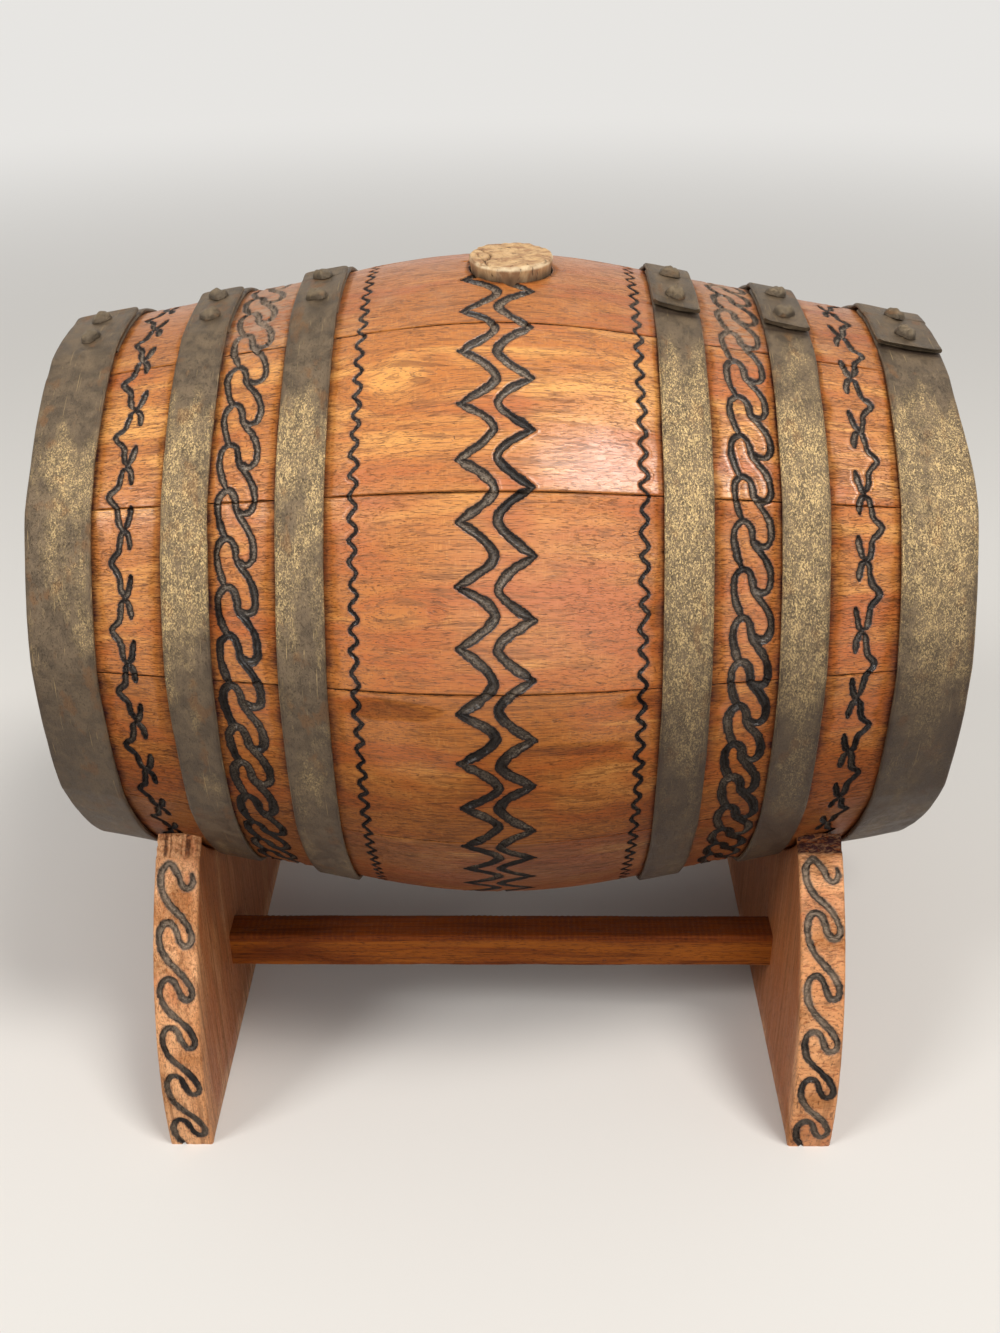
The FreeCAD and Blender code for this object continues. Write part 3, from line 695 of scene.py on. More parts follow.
def stave_columns():
    """Places along a stave: close together where it is carved."""
    segments, last = [], -CASK_END + END_ROUND
    for band in BANDS:
        low, high = band.middle - band.reach, band.middle + band.reach
        if low > last:
            segments.append((last, low, MEDIUM if abs(low) < 30 else COARSE))
        segments.append((max(last, low), high, FINE))
        last = high
    segments.append((last, CASK_END - END_ROUND, COARSE))
    return np.concatenate([[-CASK_END, 0.15 - CASK_END], positions(segments), [CASK_END - 0.15, CASK_END]])


def stave_rows():
    """Places across a stave, in millimetres at the bilge from its middle."""
    half = math.radians(STAVE_ANGLE / 2) * BILGE_RADIUS - JOINT_GAP
    edge = np.array([0, 0.08, 0.2, 0.4])
    middle = np.linspace(-half + 0.65, half - 0.65, 138)
    return np.concatenate([edge - half, middle, half - edge[::-1]])


COLUMNS = stave_columns()
ROWS = stave_rows()


class StaveFace:
    """The grid of places on a stave's outer face.

    "reach" is the length round the cask from its top, "edge" the distance to the nearest joint, and
    "descent" the angle from the top.
    """

    def __init__(self, index):
        self.index, self.centre = index, CASK_TURN + STAVE_ANGLE * index
        self.rng = np.random.default_rng(300 + index)
        self.along, self.across = np.meshgrid(COLUMNS, ROWS, indexing="ij")
        self.turn = self.centre + np.degrees(self.across / BILGE_RADIUS)
        self.reach = np.radians(self.turn) * BILGE_RADIUS
        self.edge = np.abs(ROWS).max() - np.abs(self.across)
        self.descent = np.abs(apart(self.turn, 0))

    def ripple(self, size, seed):
        """Noise with its own waves on each stave."""
        return ripple(self.along, self.reach, size, seed + self.index)

    def aside(self, turn):
        """Distance round the cask from a turn."""
        return np.radians(apart(self.turn, turn)) * BILGE_RADIUS


def figures_of(face):
    """The swirls on a stave: those in the photograph, or a few of its own elsewhere."""
    if 1 <= face.index <= 4:
        return [figure for figure in FIGURES if abs(apart(figure[1], face.centre)) < STAVE_ANGLE]
    rng = np.random.default_rng(700 + face.index)
    own = []
    for place in rng.permutation([-62, -20, 5, 25, 66])[:3]:
        lift = rng.choice([-0.17, 0.14])
        own.append((place + rng.uniform(-4, 4), face.centre + rng.uniform(-9, 9), rng.uniform(7, 17),
                    rng.uniform(3, 6.5), rng.uniform(0.3, 0.7), lift, max(0, lift) * 1.3))
    return own


def face_radius(face):
    """Radius of a stave's face before it is carved."""
    flattened = TOP_FACET_DEPTH if face.index == 0 else FACET_DEPTH
    radius = profile(face.along) - flattened * facet(face.turn) - 0.10 * face.rng.uniform()
    radius += BUNG_SWELL * bell(face.along - 1, SWELL_LENGTH) * bell(face.descent, SWELL_TURN)
    radius -= JOINT_DROP * rounding(face.edge, JOINT_REACH)
    radius -= END_ROUND * rounding(CASK_END - np.abs(face.along), END_ROUND)
    return radius + (0.10 * face.ripple(21, 40) + 0.05 * face.ripple(7, 60))


def carve_bands(face, radius):
    """Carves the bands into a face's radius; gives the distance to a groove's edge, and the soot."""
    soot, groove = np.zeros_like(radius), np.full_like(radius, FAR)
    rough = face.ripple(0.7, 80) + 0.6 * ripple(face.along / 4, face.reach, 0.35, 90 + face.index)
    for band in BANDS:
        rows = np.flatnonzero(np.abs(COLUMNS - band.middle) <= band.reach)
        part = slice(rows[0], rows[-1] + 1)
        turn = face.turn[part]
        behind_bung = (abs(band.middle) < 10) & (np.abs(apart(turn, -5)) < 4)
        for lap in (0, 2 * math.pi * band.radius):
            depth, gap, black = band.strokes.carve(
                face.along[part], np.radians(turn) * band.radius + lap, rough[part])
            gap = np.where(behind_bung, FAR, gap) - band.low_growth * smooth((face.descent[part] - 55) / 40)
            radius[part] -= np.where(behind_bung, 0, depth)
            soot[part] = np.where(gap < groove[part], black, soot[part])
            groove[part] = np.minimum(groove[part], gap)
    pooled = smooth(1.6 - np.hypot((face.along - 4.5) / 4.5, apart(face.turn, 47) / 8)) * (face.along > 0)
    return groove, np.clip(soot + 0.75 * smooth((face.descent - 45) / 50) - 0.3 + pooled, 0, 1)


def crack_distance(face):
    """Distance to the joints and to the cracks in the varnished face."""
    seam = face.edge + 0.06 * face.ripple(3, 130) + 0.08 * smooth(ripple(face.along, face.reach, 30, 9))
    for crack in CRACKS:
        if abs(apart(crack[0][1], face.centre)) > STAVE_ANGLE:
            continue
        line = curve_through(crack, 12)
        for middle in (line[:-1] + line[1:]) / 2:
            seam = np.minimum(seam, np.hypot(face.along - middle[0], face.aside(middle[1])) + 0.02)
    return seam


def face_grime(face, crown):
    """Darkening of a face: dirt beside the hoops with painted shade under their edges, dark joints, a
    slightly darker crown, and painted shade low down and under the cask.
    """
    # beside the hoops: dirt, and painted shade under their edges, which spreads wider lower down the cask
    fade = np.maximum(0.85 + 1.45 * smooth((face.descent - 25) / 75) + 0.5 * face.ripple(9, 100), 0.3)
    grime = np.zeros_like(fade)
    for low, high in HOOP_SPANS:
        gap = np.maximum(np.maximum(low - face.along, face.along - high), 0)
        grime = np.maximum(grime, np.exp(-gap / fade) * (0.75 + 0.3 * face.ripple(3, 110)))
    grime = np.maximum(grime, 0.5 * bell(face.edge, 0.35))
    # painted shade: the lower staves and the underside are painted darker; the crown is a little darker too
    painted_low_shade = 0.26 * smooth((face.descent - 66) / 34) * (1 + 0.35 * ripple(face.along, face.reach, 11, 150))
    return np.maximum(grime, painted_low_shade + 0.15 * crown + 0.27 * smooth((face.descent - 92) / 18))


def face_figure(face, crown, grime):
    """A face's colour with its swirls: its tone and flush, both with painted shade low down, its darkening,
    and places across its bent grain.
    """
    # painted shade: lower on the cask the wood is painted darker and redder; the crown is also darker
    lowness = smooth((face.descent - 25) / 75)
    tone = face.rng.uniform(-0.05, 0.05) - 0.22 * lowness - 0.20 * crown
    ruddy = smooth(1.4 - np.abs(face.along - 2.5) / 6) * smooth(1.6 - np.abs(apart(face.turn, 47)) / 18)
    flush = 0.07 * lowness + 0.06 * smooth(face.along / 30) + 0.13 * ruddy
    bent = face.across.copy()
    for at, at_turn, length, width, bend, lift, rim in figures_of(face):
        sideways = face.aside(at_turn)
        away = np.hypot((face.along - at) / length, sideways / width) + 0.15 * face.ripple(5, 140)
        bent -= sideways * bend * bell(away, 1)
        ring, inside = bell(away - 1.1, 0.25), smooth(1.3 - away)
        tone += lift * inside - rim * ring
        flush += 0.5 * rim * ring - 0.3 * lift * inside
        grime = np.maximum(grime, -2.8 * lift * inside)
    return tone, flush, grime, bent


def stave_inside(face):
    """Points and grain of a stave's plain inside, with its bevelled ends."""
    rows = np.radians(STAVE_ANGLE / 2) * np.linspace(1, -1, INNER_ROWS) * (BILGE_RADIUS - JOINT_GAP)
    along, across = np.meshgrid(COLUMNS, rows, indexing="ij")
    bevel_start = CASK_END - CHIME_BEVEL
    radius = profile(np.minimum(np.abs(along), bevel_start), STAVE_WALL)
    radius = radius + np.maximum(np.abs(along) - bevel_start, 0)
    turn = face.centre + np.degrees(across / BILGE_RADIUS)
    return on_cask(along, turn, radius), np.stack([along, across + GRAIN_SHIFT * face.index, radius], -1)


def make_stave(index):
    """One stave: faceted face with carved bands and thin seams, plain inside and bevelled ends."""
    name = f"stave_{index + 1:02d}"
    face = StaveFace(index)
    radius = face_radius(face)
    groove, soot = carve_bands(face, radius)
    seam = crack_distance(face)
    crown = smooth(1.6 - np.abs(apart(face.turn, 2)) / 18)
    grime = face_grime(face, crown)
    if index == 0:
        hole = np.hypot(face.along - BUNG_OFFSET, face.aside(BUNG_TURN)) - (BUNG_TOP_RADIUS - 0.25)
        seam = np.minimum(seam, hole + 0.25 * face.ripple(1.4, 7))
        grime = np.maximum(grime, 0.8 * np.exp(-np.maximum(hole, 0) / (0.8 + 0.5 * face.ripple(4, 8))))
    tone, flush, grime, bent = face_figure(face, crown, np.clip(grime, 0, 0.92))
    distance = np.abs(face.along)
    dry = smooth((distance - 40) / 8) * (0.6 + 0.4 * face.ripple(8, 160)) + 0.25 * face.ripple(12, 170)
    beside = np.exp(-np.abs(distance - 52) / 12)
    dust = crown * np.clip(0.75 * beside - 0.04 + 0.25 * face.ripple(6, 180), 0, 0.8)

    grain = np.stack([face.along + 400 * face.rng.uniform(), bent + GRAIN_SHIFT * index, radius], -1)
    inside, inside_grain = stave_inside(face)
    given = {"groove": groove, "soot": soot, "seam": np.minimum(seam, FAR), "grime": grime, "dust": dust,
             "dry": dry, "tone": tone, "flush": flush}
    fields = wood_fields(np.concatenate([grain, inside_grain], 1), **{
        field: widened(values, INNER_ROWS, QUIET[field]) for field, values in given.items()})
    outside = on_cask(face.along, face.turn, radius)
    stave = new_solid(name + "_carved", *skin(np.concatenate([outside, inside], 1)))
    dress(stave, STAVE_WOOD, "cask", name, fields, 60)
    if index == 0:
        cut_bung_hole(stave)


def bung_place(across, around, height):
    """Points in the row frame from places about the bung's axis: along the cask, to the front, up."""
    return on_cask(BUNG_OFFSET + across, BUNG_TURN, height, around)


def cut_bung_hole(stave):
    """The tapered hole that the bung sits in."""
    bottom, top = BILGE_RADIUS - 2 * STAVE_WALL, BILGE_RADIUS + BUNG_PROUD
    heights = np.array([[bottom], [top]])
    radii = BUNG_TOP_RADIUS + BUNG_FIT - (top - heights) * math.tan(BUNG_TAPER)
    angles = round_angles(96)
    loops = bung_place(radii * np.cos(angles), radii * np.sin(angles), heights)
    combine(stave, new_solid("bung_cutter", *skin(loops)), "DIFFERENCE")


# ---------------------------------------------------------------- heads
def make_head_board(side_name, side, part_name, part):
    """One board of a head, with softened edges along its joints and a slightly cupped face."""
    name = f"{side_name}_head_{part_name}_board"
    seat = CASK_END - HEAD_INSET
    rim = float(profile(np.array(seat), STAVE_WALL)) + 1.0
    half = HEAD_BOARD_WIDTH / 2
    low, high = {-1: (half, rim - 0.5), 0: (-half, half), 1: (0.5 - rim, -half)}[part]
    inset = np.array([0, 0.12, 0.3, 0.6])
    fronts = np.concatenate([low + inset, np.linspace(low + 1, high - 1, 36), high - inset[::-1]])
    shares = np.linspace(-1, 1, 90)
    front, share = np.meshgrid(fronts, shares, indexing="ij")
    up = share * np.sqrt(np.maximum(rim ** 2 - front ** 2, 0.2))
    edge = np.minimum(front - low if part != 1 else 9, high - front if part != -1 else 9)
    cupped = 0.1 * abs(part) * (np.abs(front) - half) / half
    face = seat - 0.35 * rounding(edge, 0.6) + 0.12 * ripple(front, up / 3, 9, 500 + part) - cupped
    outside = on_cask(side * face, CASK_TURN, up, front)
    inside = on_cask(side * (seat - HEAD_WALL), CASK_TURN, up, front)
    loops = np.concatenate([outside, inside[:, ::-1]], 1)
    grime = 0.5 * bell(edge, 0.5) + 0.6 * np.exp(-(rim - 1 - np.hypot(front, up)) / 1.8)
    grime = np.clip(grime * (1 + 0.3 * ripple(front, up, 6, 520 + part)), 0, 0.9)
    seam = np.minimum(edge + 0.05, FAR)
    grain = np.stack([up + 150 * (part + 3) + 40 * side, front, face], -1)
    fields = wood_fields(
        np.concatenate([grain, grain[:, ::-1]], 1), grime=widened(grime, len(shares), 0),
        seam=np.concatenate([seam, seam[:, ::-1]], 1), tone=np.full(loops.shape[:2], 0.06 * part * side))
    dress(new_solid(name + "_planed", *skin(loops)), HEAD_WOOD, "cask", name, fields)


# ---------------------------------------------------------------- hoops and rivets
# how far a hoop's middle on each stave lies inside the round
HOOP_FACET = 0.72
# radius at which the length round a hoop is counted for its dents and patina
PATINA_RADIUS = 70
# the right chime hoop's outer edge is bent outwards at its front: by how far, and round which turn
FLARE, FLARE_TURN = 2.0, 85
LAP_RISE_ANGLE = 6
HAMMERED_RADIUS, HAMMERED_RISE = 2.5, 2.0
RIVET_TURNS = (LAP_TURN - RIVET_SPREAD / 2, LAP_TURN + RIVET_SPREAD / 2)


def hoop_span(side_name, hoop_name):
    """Edges of a hoop as distances from the middle of the cask."""
    low, high = (abs(value - MIDDLE) for value in span(f"{side_name}_{hoop_name}_hoop", 0))
    return min(low, high), max(low, high)


def make_hoop(side_name, side, hoop_name, seed):
    """A strip that goes once round the staves and over its own start, ending in a slanted flap."""
    name = f"{side_name}_{hoop_name}_hoop"
    chime = hoop_name == "chime"
    start, finish = hoop_span(side_name, hoop_name)
    width = finish - start
    steps = np.concatenate([np.linspace(0, 350, 480, endpoint=False), np.linspace(350, 360 + LAP_ANGLE, 90)])
    inset = np.array([0, 0.1, 0.35, 0.8])
    top = np.concatenate([inset, np.linspace(1.4, width - 1.4, 9), width - inset[::-1]])
    bottom = np.array([width, width - 0.3, width / 2, 0.3, 0])
    top_height = HOOP_WALL - 0.42 * rounding(np.minimum(top, width - top), 0.5)
    height = np.concatenate([top_height, [0.35, 0, 0, 0, 0.35]])
    on_top = np.repeat([1.0, 0.0], [len(top), len(bottom)])

    travel, place = np.meshgrid(steps, np.concatenate([top, bottom]), indexing="ij")
    rim = np.minimum(place, width - place)
    worn = (0.1 if chime else 0.9) * (1 - place / width) + 0.8 * bell(rim, 0.8)
    near_end = smooth((travel - 360) / LAP_ANGLE)
    turn = LAP_TURN - side * LAP_ANGLE / 2 + side * (travel - near_end * worn)
    lift = HOOP_WALL * smooth((travel - 360 + LAP_RISE_ANGLE) / LAP_RISE_ANGLE)
    curl = 0.35 * smooth((travel - 360 - LAP_ANGLE + 3) / 3)
    reach = np.radians(turn % 360) * PATINA_RADIUS
    dent = 0.10 * ripple(reach, place, 8, seed) + 0.05 * ripple(reach, place, 3, seed + 1)
    edge_side = 1 - 2 * place / width
    wobble = 0.16 * ripple(reach, 0 * place, 13, seed + 2) * edge_side
    along = np.clip(start + place + wobble * (np.abs(edge_side) > 0.5), start, finish)
    if chime and side > 0:
        bent = smooth((62 - np.abs(apart(turn, FLARE_TURN))) / 26)
        along = along + FLARE * bent * np.clip(place / width * 2 - 1, 0, 1)
    radius = profile(along, -(HOOP_FIT + height)) - HOOP_FACET * facet(turn) + lift + curl
    radius = radius + (dent - 0.1) * on_top

    # worn bright edges, which also stand in for the glint along them; the bright line along the flap's end is
    # a painted highlight on its lit end
    wear_and_glint = bell(rim, 0.35) * on_top * (0.55 + 0.45 * ripple(reach, place, 4, seed + 3))
    wear_and_glint = np.clip(np.maximum(0.6 * wear_and_glint, 0.5 * bell(travel - 360 - LAP_ANGLE, 0.3)), 0, 1)
    descent = np.abs(apart(turn, 0))
    # painted light: the gold shows more across the hoops' middle height and on the right, less at the top,
    # low down and on the left chime
    painted_glow = 0.40 * smooth((descent - 12) / 30) - 0.16 * smooth((descent - 62) / 35) - 0.27
    painted_glow += 0.055 * side - 0.02 - (0.03 + 0.06 * (side < 0)) * chime
    stain_and_shade = np.exp(-rim / 0.9) * (0.35 + 0.3 * ripple(reach, place, 5, seed + 4))
    # painted shade: the lower part of each hoop is painted darker, more so on the right
    stain_and_shade = np.where(rim < 0.3, 0, stain_and_shade) + (0.60 + 0.18 * side) * smooth((descent - 55) / 52)
    # painted shadow on the strip just under the flap's end
    flap_shadow = 0.9 * bell(travel - LAP_ANGLE, 0.9)
    stain_and_shade = np.clip(np.maximum(stain_and_shade, flap_shadow), 0, 0.88) * on_top
    fields = {
        "wear_and_glint": wear_and_glint.ravel(), "painted_glow": painted_glow.ravel(), "grime": stain_and_shade.ravel(),
        "grain": np.stack([reach + 61 * seed, along + 13 * seed, radius], -1).reshape(-1, 3)}
    strip = new_solid(name + "_strip", *skin(on_cask(side * along, turn, radius)))
    dress(strip, HOOP_METAL, "cask", name, fields)


def make_rivets(side_name, side, hoop_name, seed):
    """The two hammered rivets of a hoop's lap."""
    name = f"{side_name}_{hoop_name}_rivets"
    rng = np.random.default_rng(seed + 700)
    along = sum(hoop_span(side_name, hoop_name)) / 2
    lying = HOOP_FIT + 2 * HOOP_WALL
    rise = np.linspace(0, math.pi / 2, 10)[:-1]
    radii = np.concatenate([[0.001, 1.3, 1.3], HAMMERED_RADIUS * np.cos(rise) ** 0.7, [0.001]])
    lifts = np.concatenate([[-2.4, -2.4, -0.25], HAMMERED_RISE * np.sin(rise), [HAMMERED_RISE]])
    ring, sector = np.meshgrid(np.arange(len(radii)), round_angles(32), indexing="ij")
    points, faces, wear_and_glint = [], [], []
    for turn in RIVET_TURNS:
        squash = 1 + 0.14 * np.cos(2 * sector + rng.uniform(0, 6))
        squash += 0.10 * np.cos(3 * sector + rng.uniform(0, 6))
        radius = radii[ring] * np.where(ring > 2, np.minimum(squash, 1.12) * 0.93, 1.0)
        first, second = radius * np.cos(sector), radius * np.sin(sector)
        dimple = 0.42 * ripple(first + 9, second + 9, 1.1, seed + int(turn * 7) + 5)
        lift = lifts[ring] + np.where(ring > 3, dimple - 0.25, 0)
        sine, cosine = math.sin(math.radians(turn)), math.cos(math.radians(turn))
        away = np.array([side * math.sin(FLANK), -sine * math.cos(FLANK), cosine * math.cos(FLANK)])
        level = np.array([math.cos(FLANK), side * sine * math.sin(FLANK), -side * cosine * math.sin(FLANK)])
        base = float(profile(np.array(along), -lying)) - HOOP_FACET * float(facet(turn))
        local = on_cask(side * along, turn, base) + first[..., None] * level
        local = local + second[..., None] * np.cross(away, level) + lift[..., None] * away
        faces += grid_faces(len(radii), sector.shape[1], wrap=True, first=len(points) * sector.size)
        points.append(local.reshape(-1, 3))
        worn = lift - 0.5 + 0.3 * ripple(first + 5, second + 5, 0.8, seed + 9)
        wear_and_glint.append(np.clip(worn, 0, 1).ravel())
    points = np.concatenate(points)
    none = np.zeros(len(points))
    fields = {"wear_and_glint": np.concatenate(wear_and_glint), "painted_glow": none - 0.1, "grime": none, "grain": points + 31 * seed}
    dress(new_solid(name + "_hammered", points, faces), RIVET_METAL, "cask", name, fields)


# ---------------------------------------------------------------- bung
def make_bung():
    """The cork: slightly tapered, with a cut and cracked top and crumbled edges."""
    top_rings, wall_rings = 34, 46
    rings = np.concatenate([
        np.linspace(0.01, BUNG_TOP_RADIUS - 0.9, top_rings), BUNG_TOP_RADIUS - np.array([0.6, 0.3, 0.1]),
        np.full(wall_rings, BUNG_TOP_RADIUS), [BUNG_TOP_RADIUS - 0.5, 0.01]])
    drops = np.concatenate([
        np.zeros(top_rings), [0.05, 0.18, 0.45], np.linspace(0.8, BUNG_LENGTH - 0.4, wall_rings),
        [BUNG_LENGTH, BUNG_LENGTH]])
    ring, sector = np.meshgrid(rings, round_angles(160), indexing="ij")
    drop = drops[:, None] + 0 * sector
    radius = ring - drop * math.tan(BUNG_TAPER) * (ring > 1)
    across, around = radius * np.cos(sector), radius * np.sin(sector)
    rim_length = sector * 9
    ragged = ripple(rim_length, 0 * sector, 1.2, 805)

    lump = 0.16 * ripple(across + 20, around + 20, 2.6, 801)
    lump += 0.1 * ripple(across + 20, around + 20, 0.9, 802)
    crack_line = across + 4.6 + 0.10 * (around - 1) ** 2 + 0.4 * ripple(around + 20, 0 * around, 2, 803)
    second_line = across - around * 0.35 + 7.4 + 0.3 * ripple(around + 20, 0 * around, 1.5, 804)
    crack = np.maximum(0.9 * bell(crack_line, 0.22) * (np.abs(around) < 7),
                       0.6 * bell(second_line, 0.2) * (around > -2))
    pit = np.exp(-((across - 0.5) / 1.3) ** 2 - ((around + 6.3) / 0.55) ** 2)
    rim = smooth((np.hypot(across, around) - BUNG_TOP_RADIUS + 1.6) / 1.6)
    top = BILGE_RADIUS + BUNG_PROUD - 0.16
    carved = np.minimum(lump, 0.14) - 1.0 * crack - 0.9 * pit - 0.12 * rim * (1 + ragged)
    height = top - drop + np.where(drop < 0.5, carved, 0)

    wall = np.where(drop > 0.2, 0.14 * ripple(rim_length, drop / 4, 1.1, 806), 0)
    crumbled = 0.12 + 0.16 * (1 + ragged) * bell(drop - 0.5, 0.6) + 0.15 * smooth((drop - 0.7) / 1.4)
    radius = radius - (drop > 0.05) * crumbled + np.minimum(wall, 0.05)
    across, around = radius * np.cos(sector), radius * np.sin(sector)
    # dark cracks and a pit on the top, and painted shade: the wall is painted darker as it goes down into the
    # hole
    grime = np.maximum(crack, pit) * (drop < 0.01) + 0.65 * smooth((drop - 0.9) / 2.6) * (1 + 0.4 * ragged)
    bright = bell(np.hypot(across, around) - BUNG_TOP_RADIUS + 0.3, 0.35) * (drop < 0.9)
    bright = np.clip(bright * (0.55 + 0.5 * ripple(rim_length, 0 * sector, 3, 807)), 0, 0.8)
    fields = {
        "grime": np.clip(grime, 0, 0.92).ravel(), "wear_and_glint": bright.ravel(),
        "grain": np.stack([across + 50, around + 50, height / 4], -1).reshape(-1, 3)}
    points = bung_place(across, around, height).reshape(-1, 3)
    faces = grid_faces(len(rings), sector.shape[1], wrap=True)
    dress(new_solid("cork_bung_cut", points, faces), CORK, "bung", "cork_bung", fields, 70)


# ---------------------------------------------------------------- cradle
# one scroll: across the board's edge, and in steps of pitch
SCROLL = [(0.27, 0.0), (0.1, 0.06), (0.01, 0.22), (0.06, 0.45), (0.25, 0.66), (0.5, 0.82),
          (0.76, 0.99), (0.93, 1.17), (0.97, 1.31), (0.88, 1.40), (0.74, 1.41), (0.61, 1.32),
          (0.54, 1.2), (0.44, 1.06)]
# degrees of the board's arc: from one scroll to the next, and where the first begins
SCROLL_PITCH = 8.9
SCROLL_FIRST = 43.6
SCROLL_COUNT = 6
SCROLL_MARGINS = 1.45, 1.05
# how far each scroll of the left and the right board sits below its regular place, in steps of pitch
SCROLL_SHIFTS = {-1: (0.09, 0.10, 0.085, -0.03, -0.07, -0.05), 1: (0.01, -0.08, 0, 0.02, -0.03, -0.05)}

EDGE_STEPS, FLOOR_STEPS = 250, 40
# length of the torn or soiled grain below the tips of the left and the right board
TORN_REACH = {-1: 6.3, 1: 5.6}


def scroll_strokes(width, side, seed):
    """Running scroll down a board's edge: across it, and along its arc from the arc centre's level."""
    strokes = Strokes(0.82, 0.85, seed)
    scale = math.radians(1) * BOARD_ARC_RADIUS
    corners = [(across, down - 1) for across, down in SCROLL if down > 1.15]
    for step in range(SCROLL_COUNT):
        last = step == SCROLL_COUNT - 1
        corners += [(across, step + down) for across, down in SCROLL if not last or down <= 0.75]
    across, down = curve_through(corners, 9).T
    down = down + np.interp(down, range(SCROLL_COUNT), SCROLL_SHIFTS[side])
    across = SCROLL_MARGINS[0] + (width - sum(SCROLL_MARGINS)) * across
    strokes.add(across, (SCROLL_FIRST - SCROLL_PITCH * down) * scale, 0.6, 2.0)
    return strokes


def board_outline(tip):
    """The outline down a board's front edge, along the floor and up its rear edge.

    Six rows: its places, the way out of the board there, the length along the arc from the arc
    centre's level, and 1 on the carved edges or 0 on the floor.
    """
    foot = math.asin(-BOARD_ARC_RISE / BOARD_ARC_RADIUS)
    angles = np.linspace(tip, foot, EDGE_STEPS)
    foot_reach = BOARD_ARC_RADIUS * math.cos(foot) - BOARD_ARC_REACH
    floor = np.linspace(-foot_reach, foot_reach, FLOOR_STEPS + 2)[1:-1]
    flat, edge = 0 * floor, np.ones(EDGE_STEPS)
    front_y = BOARD_ARC_REACH - BOARD_ARC_RADIUS * np.cos(angles)
    edge_z = BOARD_ARC_RISE + BOARD_ARC_RADIUS * np.sin(angles)
    legs = [(front_y, floor, -front_y), (edge_z, flat, edge_z),
            (-np.cos(angles), flat, np.cos(angles)), (np.sin(angles), flat - 1, np.sin(angles)),
            (BOARD_ARC_RADIUS * angles, flat, BOARD_ARC_RADIUS * angles), (edge, flat, edge)]
    return [np.concatenate([front, middle, rear[::-1]]) for front, middle, rear in legs]


def make_cradle_board(side_name, side, seed):
    """A half-moon board: carved scrolls down its two curved edges and a saddle for the cask."""
    name = f"{side_name}_cradle_board"
    low_x, high_x = span(name, 0)
    width = high_x - low_x
    tip = math.asin((span(name, 2)[1] - BOARD_ARC_RISE) / BOARD_ARC_RADIUS)
    inset = np.array([0, 0.12, 0.35, 0.6])
    across = np.concatenate([inset, positions([(0.8, width - 0.8, 0.3)]), width - inset[::-1]])
    corner = 0.45 * rounding(np.minimum(across, width - across), 0.5)

    outline_y, outline_z, normal_y, normal_z, travel, carved = board_outline(tip)
    travel, level = np.meshgrid(travel, across, indexing="ij")
    carved = carved[:, None]
    rough = ripple(level, travel, 0.5, seed) + 0.5 * ripple(level, travel, 0.25, seed + 1)
    depth, soot, groove = np.zeros_like(level), np.zeros_like(level), np.full_like(level, FAR)
    for part, shown, extra in ((slice(EDGE_STEPS), level, 2), (slice(-EDGE_STEPS, None), width - level, 3)):
        depth[part], groove[part], soot[part] = scroll_strokes(width, side, seed + extra).carve(
            shown[part], travel[part], rough[part])
    chatter = 0.10 * ripple(level, travel, 1.2, seed + 4) * carved
    sink = np.maximum(depth + corner - np.minimum(chatter, 0.05) + 0.05, 0)
    sink[EDGE_STEPS:-EDGE_STEPS] = corner
    soot = np.clip(soot - 0.45 + 0.6 * smooth(1 - travel / 60), 0, 1)
    near_tip = smooth((travel - (tip * BOARD_ARC_RADIUS - TORN_REACH[side])) / 1.2) * carved
    fibres = smooth(0.3 + 1.5 * ripple(level, 0 * travel, 0.38, seed + 8))
    sink = sink + near_tip * (0.5 + 0.5 * ripple(level, travel, 1.0, seed + 5))
    place = low_x + across
    band = np.stack(np.broadcast_arrays(
        place, outline_y[:, None] - normal_y[:, None] * sink,
        np.maximum(outline_z[:, None] - normal_z[:, None] * sink, 0)), -1)

    # the saddle follows the cask's flank between the two tips
    reach = profile(np.abs(place - MIDDLE), -SADDLE_FIT) + corner
    half = np.arctan2(-band[0, :, 1], AXIS_RISE - band[0, :, 2])
    angle = np.linspace(-1, 1, len(band))[:, None] * half
    saddle = np.stack(np.broadcast_arrays(
        place, reach * np.sin(angle), AXIS_RISE - reach * np.cos(angle)), -1)
    shares = np.linspace(0, 1, 9)[1:-1, None]

    def side_face(column):
        """Rows of points across a flat face, from the outline to the saddle."""
        lower, upper = band[:, column, None], saddle[:, column, None]
        return lower + (upper - lower) * shares

    loops = np.concatenate([band, side_face(-1), saddle[:, ::-1], side_face(0)[:, ::-1]], 1)
    others = loops.shape[1] - len(across)
    stretch = 1 if side < 0 else 0.25
    grain = np.stack([loops[..., 1] * 0.25 + loops[..., 2], loops[..., 1] * 0.97 + 300 * side,
                      loops[..., 0] * stretch], -1)
    grime = 0.35 * np.clip(ripple(level, travel, 6, seed + 6), 0, 1) * carved
    grime = np.maximum(grime, near_tip * (0.9 if side > 0 else 0.15 + 0.6 * fibres))
    dust = np.where(groove < 0.25, 0.5 * (1 - soot), 0)
    tone = 0.35 * near_tip - 0.06 * (side > 0)
    given = {"groove": (groove, FAR), "soot": (soot, 0), "grime": (grime, 0.2), "dust": (dust, 0),
             "tone": (tone, -0.06), "flush": (0 * tone + 0.04 * side, 0.3 + 0.1 * side)}
    fields = wood_fields(grain, **{
        field: widened(values, others, rest) for field, (values, rest) in given.items()})
    dress(new_solid(name + "_carved", *skin(loops)), BOARD_WOOD, "stand", name, fields)


